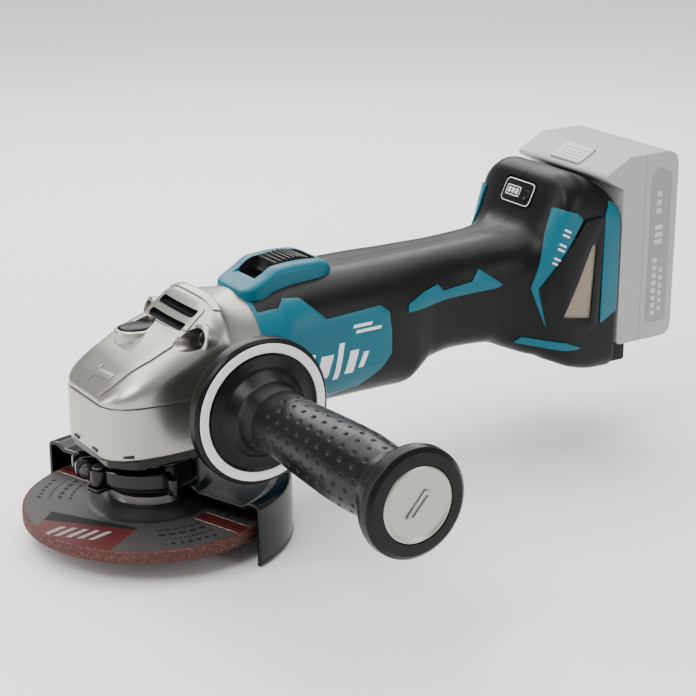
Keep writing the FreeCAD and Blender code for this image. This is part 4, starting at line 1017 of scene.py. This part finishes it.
# ------------------------------------------------------------------ switch
def build_switch():
    table = [
        (46.0, 11.0, 103.0, 107.6, 0.3, 1.2, 0.0), (48.5, 14.2, 103.0, 108.8, 0.3, 2.0, 0.0),
        (53.0, 16.0, 103.0, 110.6, 0.3, 2.5, 0.0), (58.0, 16.8, 103.0, 113.2, 0.3, 3.0, 0.0),
        (65.0, 17.0, 103.0, 117.0, 0.3, 3.4, 0.0), (78.0, 17.0, 103.0, 117.9, 0.3, 3.6, 0.0),
        (88.0, 16.6, 103.0, 117.4, 0.3, 3.6, 0.0), (95.0, 14.6, 103.0, 115.4, 0.3, 3.6, 0.0),
        (98.5, 11.0, 103.0, 112.6, 0.3, 2.6, 0.0),
    ]
    surround = loft("switch_collar", table, ["teal"], 1.0, 0.8, 1.4)
    # Painted shade: the well cutter carries a near-black material, so the walls and floor of the well round the knob
    # show dark.
    well = prism("well", round_profile([(56.6, -9.6), (91.6, -9.6), (91.6, 9.6), (56.6, 9.6)], 3.0), 106.6, 130, ["dark_print_and_painted_shade"], "xy")
    scoop = prism("scoop", round_profile([(44.0, 109.8), (58.0, 111.6), (63.0, 119.0), (63.0, 126.0), (44.0, 126.0)], 2.0),
                  -9.2, 9.2, ["teal"], "xz")
    under = lathe("under", disc_profile(32.9, 40, 110, 0.1), ["teal"], 96, along((1, 0, 0), 0, 0, 73))
    surround = cut_away(surround, [well, scoop, under], 32)
    remove([well, scoop, under])
    set_up(surround, "tool_body", ("switch_surround",), "teal_plastic")

    top = [(64.2, 108.6), (64.2, 112.6), (66.5, 114.2)]
    for k in range(8):
        x = 68.0 + k * 2.5
        crest = 117.3 + 1.9 * math.sin(math.pi * (k + 0.6) / 8.4)
        top += [(x, crest - 1.0), (x + 0.35, crest), (x + 1.5, crest), (x + 1.85, crest - 1.0)]
    top += [(89.0, 115.8), (89.8, 113.0), (89.8, 108.6)]
    knob = prism("switch_thumb", top, -8.0, 8.0, ["black"], "xz", edge=0.25, segments=2)
    set_up(knob, "switch_slide", ("switch_knob",), "black_plastic")


# ------------------------------------------------------------------ side handle
def build_side_handle():
    sizes = bpy.context.scene.grinder_sizes
    flange = sizes.flange_radius / MM
    place = along((0, -1, 0), 26.7, 0, 67, 0)
    profile = [
        (0.001, 42.0, 0), (11.0, 42.0, 0.4), (11.6, 48.0, 2.0), (16.0, 55.5, 3.0), (flange - 2.0, 58.0, 1.0),
        (flange, 59.4, 1.2), (flange, 64.8, 1.0), (flange - 1.2, 66.2, 0.6), (29.0, 66.4, 0.8), (27.2, 65.4, 1.0),
        (21.6, 67.0, 4.0), (17.4, 73.0, 5.0), (15.6, 82.0, 6.0), (15.4, 90.0, 5.0),
    ]
    profile += [(15.6, 96.0, 4), (16.6, 112.0, 6), (17.7, 135.0, 6), (17.9, 148.0, 6), (17.2, 162.0, 5), (16.9, 170.0, 3),
                (17.6, 174.0, 2), (21.0, 179.5, 2), (24.2, 182.5, 1.5), (25.0, 185.4, 1.4), (24.6, 189.4, 1.0), (22.6, 191.0, 0.8),
                (17.4, 191.2, 0.3), (17.2, 187.2, 0.2), (0.001, 187.2, 0)]
    dense = []
    rounded = round_profile(profile, 0.5, steps=6)
    for i, p in enumerate(rounded):
        dense.append(p)
        q = rounded[(i + 1) % len(rounded)]
        if 88.0 < p[1] < 172.0 and q[1] > p[1]:
            gap = q[1] - p[1]
            count = int(gap / 0.55)
            for k in range(1, count):
                t = k / count
                dense.append((p[0] + (q[0] - p[0]) * t, p[1] + gap * t))
    depth = sizes.dimple_depth / MM
    rows = 20

    def dent(radius, height, angle):
        if not 88.0 < height < 172.0:
            return 0.0
        pull = 0.0
        row = angle / (2 * math.pi) * rows
        for r in (math.floor(row), math.floor(row) + 1):
            shift = 4.4 if r % 2 else 0.0
            k = round((height - 92.0 - shift) / 8.8)
            centre = 92.0 + shift + k * 8.8
            if not 90.0 < centre < 170.0:
                continue
            across = (row - r) * 2 * math.pi * radius / rows
            d = math.hypot(across, height - centre)
            pull = max(pull, depth * 1.5 * max(0.0, 1.0 - (d / 1.25) ** 2))
        seam = abs((angle - math.pi / 2 + math.pi / 2) % math.pi)
        seam = min(seam, math.pi - seam) * radius
        return pull - 0.12 * max(0.0, 1.0 - seam / 0.35)

    grip = lathe("side_grip_rubber", dense, ["rubber"], 360, place, dent=dent, angle=40)
    set_up(grip, "side_handle", ("side_grip",), "black_rubber")

    ring = lathe("flange_ring", round_profile([(28.9, 65.0), (33.3, 65.0), (33.3, 66.75), (28.9, 66.75)], 0.4), ["white"], 160, place)
    set_up(ring, "side_handle", ("grip_ring",), "white_plastic")

    cap_profile = round_profile([(0.001, 187.3, 0), (16.9, 187.3, 0.2), (17.1, 191.0, 0.5), (16.2, 191.5, 0.5), (14.6, 190.9, 0.6),
                                 (0.001, 191.2, 0)], 0.4)
    cap = lathe("end_cap_disc", cap_profile, ["silver"], 128, place)
    slot = prism("cap_slot", round_profile(box_points(-7.6, 7.6, -1.7, 1.7), 1.4), 190.0, 192.3, ["silver"], "xy",
                 place @ Matrix.Rotation(math.radians(48), 4, "Z"), 0.5)
    # Painted shade: a dark strip on top of the bar stands for the shaded inside of its slit.
    groove = prism("cap_slit_shade", round_profile(box_points(-5.6, 5.6, -0.5, 0.5), 0.4), 191.4, 192.45, ["dark_steel"], "xy",
                   place @ Matrix.Rotation(math.radians(48), 4, "Z"))
    whole = join("grip_cap", [cap, slot, groove])
    shade(whole, 35)
    set_up(whole, "side_handle", ("grip_end_cap",), "gear_head")

    marks = []
    for k in range(9):
        low = 100.0 + k * 7.0
        width = 2.6 if k % 2 else 4.2
        spread = 10.0 if k % 3 else 14.0
        quad = []
        for t in range(7):
            quad.append((-28.0 - spread + 2 * spread * t / 6, low + 2.0 * t / 6))
        verts, faces = [], []
        for dz in (0.0, width):
            for a, h in quad:
                radius = grip_radius(dense, h + dz) + 0.08
                verts.append(tuple(place @ Vector((radius * math.cos(math.radians(a)), radius * math.sin(math.radians(a)), h + dz))))
        for t in range(6):
            faces.append((t, t + 1, t + 8, t + 7))
        marks.append(from_points("mark", verts, faces, ["white"]))
    label = join("grip_marks", marks)
    solid = label.modifiers.new("thick", "SOLIDIFY")
    solid.thickness = 0.00016
    apply_modifiers(label)
    set_up(label, "side_handle", (), "white_plastic")


def grip_radius(profile, height):
    best = 16.0
    for (r0, h0), (r1, h1) in zip(profile, profile[1:]):
        if h0 <= height <= h1 and h1 > h0:
            best = r0 + (r1 - r0) * (height - h0) / (h1 - h0)
    return best


# ------------------------------------------------------------------ guard
def build_guard():
    radius = bpy.context.scene.grinder_sizes.guard_radius / MM
    shell = round_profile([(24.6, 18.4, 0.3), (28.0, 18.4, 0.6), (31.0, 15.8, 1.0), (60.0, 15.8, 1.0), (64.0, 18.2, 1.5),
                           (radius - 1.8, 18.2, 3.0), (radius - 1.8, -9.2, 0.6), (radius - 2.4, -10.4, 0.6),
                           (radius - 0.4, -11.0, 0.6), (radius + 0.6, -9.8, 0.8), (radius, -8.0, 0.8),
                           (radius, 19.9, 4.5), (63.2, 19.9, 1.5), (59.4, 17.6, 1.0), (31.6, 17.6, 1.0), (28.6, 20.1, 0.8),
                           (24.6, 20.1, 0.3)], 0.5)
    guard = lathe("guard_skirt", shell, ["gloss_black_and_painted_shade"], 140, None, -70.0, 180.0)
    bevel(guard, 0.35, 2, 40)
    set_up(guard, "guard", ("guard_shell",), "guard_black")

    ring = round_profile([(22.1, 18.5), (24.9, 18.5, 0.4), (24.9, 20.0, 0.4), (24.4, 21.0, 0.4), (24.4, 31.6, 0.4), (26.2, 32.6, 0.5),
                          (26.2, 34.0, 0.5), (22.1, 34.0)], 0.3)
    band = lathe("clamp_band", ring, ["gloss_black_and_painted_shade"], 150, None, 171.0, 348.0)
    parts = [band]
    for side in (-1, 1):
        centre = side * 4.5
        lug = prism("lug", round_profile([(24.0, 22.8), (34.0, 22.8, 2.5), (37.0, 25.6, 2.5), (37.0, 31.0, 2.5), (34.0, 33.2, 2.5),
                                          (24.0, 33.2)], 1.0), centre - 1.8, centre + 1.8, ["gloss_black_and_painted_shade"], "xz",
                    Matrix.Rotation(math.radians(165), 4, "Z"), 0.5)
        parts.append(lug)
    for angle in (205, 235, 300, 340, 20, 60, 100, 135):
        tooth = prism("tooth", round_profile(box_points(24.6, 27.8, -3.2, 3.2), 1.0), 32.3, 34.2, ["gloss_black_and_painted_shade"], "xy",
                      Matrix.Rotation(math.radians(angle), 4, "Z"), 0.4)
        parts.append(tooth)
    bracket = prism("bracket", round_profile(box_points(23.0, 35.4, -4.2, 4.2), 1.6), 19.9, 22.2, ["gloss_black_and_painted_shade"], "xy",
                    Matrix.Rotation(math.radians(192), 4, "Z"), 0.4)
    parts.append(bracket)
    whole = join("guard_clamp", parts)
    shade(whole, 35)
    set_up(whole, "guard", ("guard_band",), "guard_black")

    turn = Matrix.Rotation(math.radians(165), 4, "Z")
    axis = turn @ along((0, 1, 0), 32.0, 0, 28.0)
    screw = round_profile([(0.001, -9.6, 0), (2.6, -9.6, 0.8), (3.7, -8.6, 0.5), (3.7, -6.5, 0.3), (2.0, -6.5, 0), (2.0, 6.5, 0),
                           (3.7, 6.5, 0.3), (3.7, 9.1, 0.5), (2.1, 9.4, 0.2), (2.1, 10.6, 0.4), (0.001, 10.6, 0)], 0.2)
    bolt = lathe("clamp_bolt", screw, ["dark_steel"], 48, axis)
    coil = spring("clamp_spring", 3.0, 0.55, -1.9, 1.9, 3.2, axis)
    bolt = join("clamp_bolt_and_coil", [bolt, coil])
    shade(bolt, 40)
    set_up(bolt, "guard", ("guard_clamp_screw",), "dark_steel")

    start, sweep = 192.0, 70.0
    bar = round_profile([(27.0, 22.7, 0.5), (28.0, 22.7, 0.5), (29.0, 24.6, 0.8), (29.0, 29.0, 0.8), (28.0, 30.9, 0.5), (29.8, 30.9, 0.5),
                         (30.5, 30.2, 0.4), (30.5, 23.4, 0.4), (29.8, 22.7, 0.5)], 0.3)
    bar = round_profile([(27.1, 22.7), (29.9, 22.7), (30.5, 23.5), (30.5, 30.2), (29.9, 30.9), (27.1, 30.9)], 0.5)
    arm = lathe("lever_arm", bar, ["gloss_black_and_painted_shade"], 90, None, start, sweep)
    pin_x, pin_y = 31.0 * math.cos(math.radians(start)), 31.0 * math.sin(math.radians(start))
    eye = lathe("lever_eye", disc_profile(4.0, 22.7, 30.9, 0.6, 1.95), ["gloss_black_and_painted_shade"], 48, Matrix.Translation((pin_x, pin_y, 0)))
    tab_points = round_profile([(27.2, -3.0, 0.4), (38.0, -3.4, 1.2), (40.0, -1.8, 1.0), (40.0, 0.4, 0.8), (34.0, 0.4, 1.5), (30.6, 1.0, 1.0),
                                (27.2, 1.0, 0.4)], 0.5)
    tab = prism("lever_tab", tab_points, 22.8, 30.8, ["gloss_black_and_painted_shade"], "xy", Matrix.Rotation(math.radians(start + sweep), 4, "Z"), 0.5)
    lever = join("clamp_lever_detail", [arm, eye, tab])
    shade(lever, 35)
    set_up(lever, "guard_lever", ("clamp_lever",), "guard_black")


def spring(name, radius, wire, low, high, turns, place):
    """A coil spring as a swept tube."""
    steps = int(turns * 28)
    sides = 8
    verts, faces = [], []
    for i in range(steps + 1):
        a = 2 * math.pi * turns * i / steps
        centre = Vector((radius * math.cos(a), radius * math.sin(a), low + (high - low) * i / steps))
        out = Vector((math.cos(a), math.sin(a), 0))
        for k in range(sides):
            b = 2 * math.pi * k / sides
            point = centre + (out * math.cos(b) + Vector((0, 0, 1)) * math.sin(b)) * wire
            verts.append(tuple(place @ point))
    for i in range(steps):
        for k in range(sides):
            n = (k + 1) % sides
            faces.append((i * sides + k, i * sides + n, (i + 1) * sides + n, (i + 1) * sides + k))
    faces.append(tuple(range(sides)))
    faces.append(tuple(steps * sides + k for k in range(sides)))
    return from_points(name, verts, faces, ["dark_steel"])


# ------------------------------------------------------------------ wheel
def build_wheel():
    radius = bpy.context.scene.grinder_sizes.wheel_radius / MM
    points = [(11.12, 5.0), (23.5, 5.0, 1.5), (31.0, 0.0, 2.0), (radius, 0.0, 0.6), (radius, 6.0, 0.8), (30.0, 6.0, 2.0),
              (22.5, 11.0, 1.5), (11.12, 11.0)]
    profile = round_profile(points, 0.2, steps=4)
    dense = []
    for i, p in enumerate(profile):
        q = profile[(i + 1) % len(profile)]
        dense.append(p)
        gap = math.dist(p, q)
        count = int(gap / 2.5)
        for k in range(1, count):
            dense.append((p[0] + (q[0] - p[0]) * k / count, p[1] + (q[1] - p[1]) * k / count))

    def rough(r, h, a):
        if r < 40:
            return 0.0
        near = max(0.0, 1.0 - (radius - r) / 3.0)
        return 0.25 * near * noise.noise(Vector((math.cos(a) * 40, math.sin(a) * 40, h * 0.8)))

    wheel = lathe("abrasive_wheel", dense, ["abrasive"], 360, None, dent=rough, angle=40)
    set_up(wheel, "spindle_unit", ("grinding_wheel",), "abrasive")

    top = [(12.0, 11.0), (22.4, 11.0), (24.0, 10.1), (28.0, 7.4), (30.6, 6.1), (33.0, 6.0)]
    top += [(33.0 + k * 0.7, 6.0) for k in range(1, 41)]
    verts, faces, kinds = [], [], []
    count = 720
    size = len(top)
    for c in range(count):
        a = 2 * math.pi * c / count
        for r, h in top:
            verts.append((r * math.cos(a), r * math.sin(a), h + 0.12))
    for c in range(count):
        n = (c + 1) % count
        for k in range(size - 1):
            faces.append((c * size + k, n * size + k, n * size + k + 1, c * size + k + 1))
            r = (top[k][0] + top[k + 1][0]) / 2
            kinds.append(label_kind(r, (c + 0.5) * 360.0 / count))
    label = from_points("wheel_label", verts, faces, ["label", "label_red", "dark_print_and_painted_shade", "label_white", "label_hub"], kinds)
    solid = label.modifiers.new("thick", "SOLIDIFY")
    solid.thickness = 0.0002
    apply_modifiers(label)
    shade(label, 40)
    set_up(label, "spindle_unit", (), "abrasive")


def label_kind(r, a):
    """Plain coloured fields and bars, with no words: 0 ground, 1 red, 2 dark, 3 pale, 4 hub."""
    if r < 31.5:
        return 4
    for centre in (223.2, 43.2):
        d = math.radians((a - centre + 180.0) % 360.0 - 180.0)
        across, out = r * math.sin(d), r * math.cos(d)
        if -41.0 < across < 6.0 and r < 61.0:
            if 34.9 - (6.0 - across) * 0.17 < out < 36.9:
                return 2
            if 36.9 < out < 61.0 and across < 6.0 - (out - 36.9) * 0.17:
                lean = across + 30.0 + (out - 42.0) * 0.5
                if 42.0 < out < 52.5 and 0.0 < lean < 29.0 and lean % 5.8 < 2.7:
                    return 3
                return 1
    for centre in (-71.0, 109.0):
        d = math.radians((a - centre + 180.0) % 360.0 - 180.0)
        across, out = abs(r * math.sin(d)), r * math.cos(d)
        if 33.0 < out and r < 61.0 and across < 4.7:
            if across > 4.0:
                return 3
            return 2 if across < 0.5 else 1
    for centre in (-96.0, 84.0, 134.0, -46.0):
        d = math.radians((a - centre + 180.0) % 360.0 - 180.0)
        arc = d * r
        if abs(arc) < 13.0:
            if 38.5 < r < 40.3 and int((arc + 40.0) / 1.3) % 3 != 0:
                return 2
            if 43.6 < r < 45.8 and int((arc + 40.0) / 1.7) % 3 != 0:
                return 2
            if 49.4 < r < 50.8 and int((arc + 40.0) / 1.1) % 2 == 0:
                return 2
            if 54.0 < r < 56.4 and int((arc + 40.0) / 2.1) % 2 == 0:
                return 2
    return 0


# ------------------------------------------------------------------ battery
def build_battery():
    outline_xz = [(264.1, 47.0, 3), (279.3, 47.0, 0.3), (279.3, 150.5, 0.3), (268.0, 150.5, 3), (250.0, 141.0, 2.5), (264.1, 133.4, 2)]
    front = prism("pack_front", round_profile(outline_xz, 2.0, steps=5), -37.5, 37.5, ["battery"], "xz")
    bevel(front, 2.2, 4, 50)
    # Painted shade: the seat, rail slot and button well cutters carry a darker grey, so the walls of these recesses
    # show darker than the case.
    seat = prism("seat", box_points(-21, 21, 40, 113.6), 262, 272.6, ["battery_dark"], "yz")
    slots = [prism("slot", box_points(s * 12 - 1.2, s * 12 + 1.2, 40, 97), 268, 277.6, ["battery_dark"], "yz") for s in (-1, 1)]
    place = Matrix.Translation((259.5, 0, 146.75)) @ Matrix.Rotation(-math.atan2(9.5, 18.0), 4, "Y")
    well = prism("well", round_profile(box_points(-7.0, 7.0, -12.4, 12.4), 2.0), -5.2, 6, ["battery_dark"], "xy", place)
    side_cuts = []
    for side in (-1, 1):
        for k in range(2):
            z = 72 + k * 26
            side_cuts.append(prism("notch", round_profile(box_points(266.0, 268.0, z, z + 18), 0.8), side * 37.0 - 0.5,
                                   side * 37.0 + 1.0 if side > 0 else side * 37.0 + 0.5, ["battery_dark"], "xz"))
    front = cut_away(front, [seat, well] + slots, 40)
    remove([seat, well] + slots + side_cuts)
    set_up(front, "battery", ("battery_front_case",), "battery_grey")

    rear_points = [(279.5, 47.0, 0.3), (302.0, 47.0, 7), (302.0, 150.5, 9), (279.5, 150.5, 0.3)]
    rear = prism("pack_rear", round_profile(rear_points, 2.0, steps=6), -37.5, 37.5, ["battery"], "xz")
    bevel(rear, 4.0, 5, 60)
    trims = []
    for side in (-1, 1):
        y0, y1 = (side * 37.4, side * 37.75)
        low, high = min(y0, y1), max(y0, y1)
        field = round_profile([(283.5, 56, 2), (297.5, 56, 3), (297.5, 138, 3), (289.0, 143, 3), (283.5, 138, 2)], 2.0)
        trims.append(prism("side_field", field, low, high, ["battery_dark"], "xz", None, 0.12))
        marks = [(286.5, 60, 3.0, 34), (291.5, 62, 2.2, 26), (287.0, 100, 5.5, 12), (287.5, 117, 3.5, 14)]
        y0, y1 = (side * 37.7, side * 37.85)
        low, high = min(y0, y1), max(y0, y1)
        for x, z, w, h in marks:
            count = max(2, int(h / 4.0))
            for k in range(count):
                z0 = z + k * h / count
                bar = round_profile(box_points(x, x + w, z0, z0 + h / count * 0.62), 0.4)
                trims.append(prism("mark", bar, low, high, ["battery_light"], "xz"))
    whole = join("battery_rear_detail", [rear] + trims)
    shade(whole, 40)
    set_up(whole, "battery", ("battery_rear_case",), "battery_grey")

    button = prism("release_tab", round_profile(box_points(-6.4, 6.4, -11.9, 11.9), 1.8), -2.9, 0.5, ["battery_light"], "xy", place, 0.6)
    ribs = [prism("rib", round_profile(box_points(-4.4 + k * 2.4, -3.4 + k * 2.4, -9, 9), 0.4), 0.3, 0.85, ["battery_light"], "xy",
                  place, 0.2) for k in range(4)]
    tab = join("release_button_detail", [button] + ribs)
    shade(tab, 35)
    set_up(tab, "battery_release", ("battery_button",), "battery_grey")


# ------------------------------------------------------------------ CAD nodes that stay in view
KEEP = {
    # Painted shade: the bearing box is silver on the real tool but takes the gloss black here, so the gap under the
    # gear head shows dark.
    "bearing_box": "gloss_black_and_painted_shade", "bearing_box_screws": "dark_steel", "gear_housing_screws": "dark_steel",
    "bearing_retainer": "steel", "lower_spindle_bearing": "steel", "upper_spindle_bearing": "steel", "motor_bearings": "steel",
    "fan_baffle": "black", "stator_core": "dark_steel", "stator_coils": "copper", "sensor_board": "board",
    "motor_leads": "copper", "switch_unit": "black", "handle_screws": "dark_steel", "controller": "black",
    "terminal_block": "black", "terminal_blades": "steel", "spindle": "steel", "gear_retaining_ring": "dark_steel",
    "crown_gear": "steel", "inner_flange": "steel", "lock_nut": "dark_steel", "rotor_shaft": "steel", "pinion_gear": "steel",
    "cooling_fan": "black", "rotor_core": "dark_steel", "switch_link": "black", "lock_pin": "steel",
    "lever_pin": "dark_steel", "handle_washer": "steel", "handle_stud": "steel", "battery_cells": "teal",
}


def finish_and_shade_kept_nodes(frame):
    for node, key in KEEP.items():
        obj = frame["nodes"][node]
        mat = material(key)
        if obj.data.materials:
            for index in range(len(obj.data.materials)):
                obj.data.materials[index] = mat
        else:
            obj.data.materials.append(mat)
        obj.data.set_sharp_from_angle(angle=math.radians(30))


# ------------------------------------------------------------------ stage
def build_stage():
    floor_z = bpy.context.scene.grinder_sizes.floor_height
    mesh = bpy.data.meshes.new("floor")
    size = 3.0
    bm = bmesh.new()
    corners = [bm.verts.new((x * size, y * size, floor_z)) for x, y in ((-1, -1), (1, -1), (1, 1), (-1, 1))]
    bm.faces.new(corners)
    bm.to_mesh(mesh)
    bm.free()
    mesh.materials.append(rough_surface("floor_paper", (0.86, 0.86, 0.86), 0.9, grain=80.0, bump=0.01, shade=0.01))
    floor = make_object("floor", mesh)
    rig.stage(floor)

    world = bpy.data.worlds.new("studio")
    world.use_nodes = True
    back = world.node_tree.nodes["Background"]
    back.inputs["Color"].default_value = (1.0, 1.0, 1.0, 1.0)
    back.inputs["Strength"].default_value = 0.55
    bpy.context.scene.world = world

    lights = [
        ("overhead", (0.25, 0.45, 1.60), (0.15, 0.15, 0.0), 2.2, 1.8, 50.0),
        ("key", (-0.55, -0.35, 0.90), (0.08, 0.0, 0.07), 0.45, 0.45, 7.0),
        ("left_strip", (-0.85, 0.25, 0.40), (0.0, 0.0, 0.07), 0.16, 0.8, 4.5),
        ("back_strip", (0.45, 0.80, 0.65), (0.12, 0.0, 0.09), 1.0, 0.2, 6.0),
        ("front_fill", (0.60, -1.05, 0.40), (0.12, 0.0, 0.08), 0.35, 0.6, 3.0),
    ]
    for name, spot, aim, wide, tall, power in lights:
        data = bpy.data.lights.new(name, "AREA")
        data.shape = "RECTANGLE"
        data.size = wide
        data.size_y = tall
        data.energy = power
        lamp = bpy.data.objects.new(name, data)
        bpy.context.scene.collection.objects.link(lamp)
        lamp.location = spot
        lamp.rotation_euler = (Vector(aim) - Vector(spot)).to_track_quat("-Z", "Y").to_euler()
        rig.stage(lamp)

    data = bpy.data.cameras.new("view")
    data.lens = 98.28
    data.sensor_width = 36.0
    data.clip_start = 0.05
    data.clip_end = 10.0
    camera = bpy.data.objects.new("view", data)
    bpy.context.scene.collection.objects.link(camera)
    turn, tilt = math.radians(-32.8), math.radians(19.2)
    back_dir = Vector((math.sin(turn) * math.cos(tilt), -math.cos(turn) * math.cos(tilt), math.sin(tilt)))
    camera.location = Vector((-383.6, -774.7, 383.4)) * MM
    camera.rotation_euler = (-back_dir).to_track_quat("-Z", "Y").to_euler()
    bpy.context.scene.camera = camera


# ------------------------------------------------------------------ operators
def step(function, label, words):
    """An operator that runs one building step."""
    def execute(self, context):
        try:
            function()
        except Exception as problem:
            raise RuntimeError(words + " failed: " + str(problem)) from problem
        return {"FINISHED"}

    name = label.replace(" ", "_").lower()
    return type("GRINDER_OT_" + name, (bpy.types.Operator,),
                {"bl_idname": "grinder." + name, "bl_label": label, "__doc__": words, "execute": execute})


OPERATORS = [
    step(build_gear_head, "Gear head", "Builds the cast gear head and the shaft lock button"),
    step(build_body, "Body", "Builds the motor case, the rear handle and its trim"),
    step(build_switch, "Switch", "Builds the slide switch and its collar"),
    step(build_side_handle, "Side handle", "Builds the side handle"),
    step(build_guard, "Guard", "Builds the guard, its clamp band and lever"),
    step(build_wheel, "Wheel", "Builds the grinding wheel and its label"),
    step(build_battery, "Battery", "Builds the battery pack"),
    step(build_stage, "Stage", "Builds the floor, lights and camera"),
]


class GRINDER_PT_panel(bpy.types.Panel):
    """Sizes, colours and building steps."""
    bl_label = "Angle grinder"
    bl_idname = "GRINDER_PT_panel"
    bl_space_type = "VIEW_3D"
    bl_region_type = "UI"
    bl_category = "Grinder"

    def draw(self, context):
        for group in (context.scene.grinder_sizes, context.scene.grinder_colors):
            for key in group.__annotations__:
                self.layout.prop(group, key)
        for operator in OPERATORS:
            self.layout.operator(operator.bl_idname)


CLASSES = [GrinderSizes, GrinderColors] + OPERATORS + [GRINDER_PT_panel]


def register():
    for each in CLASSES:
        bpy.utils.register_class(each)
    bpy.types.Scene.grinder_sizes = bpy.props.PointerProperty(type=GrinderSizes)
    bpy.types.Scene.grinder_colors = bpy.props.PointerProperty(type=GrinderColors)


def unregister():
    del bpy.types.Scene.grinder_colors
    del bpy.types.Scene.grinder_sizes
    for each in reversed(CLASSES):
        bpy.utils.unregister_class(each)


def main():
    register()
    for operator in OPERATORS:
        namespace, name = operator.bl_idname.split(".")
        getattr(getattr(bpy.ops, namespace), name)()
    finish_and_shade_kept_nodes(frame)
    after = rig.bounds()
    with open("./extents.json", "w") as out:
        json.dump({"cad": [list(v) for v in cad_box], "scene": [list(v) for v in after]}, out)


if __name__ == "__main__":
    main()
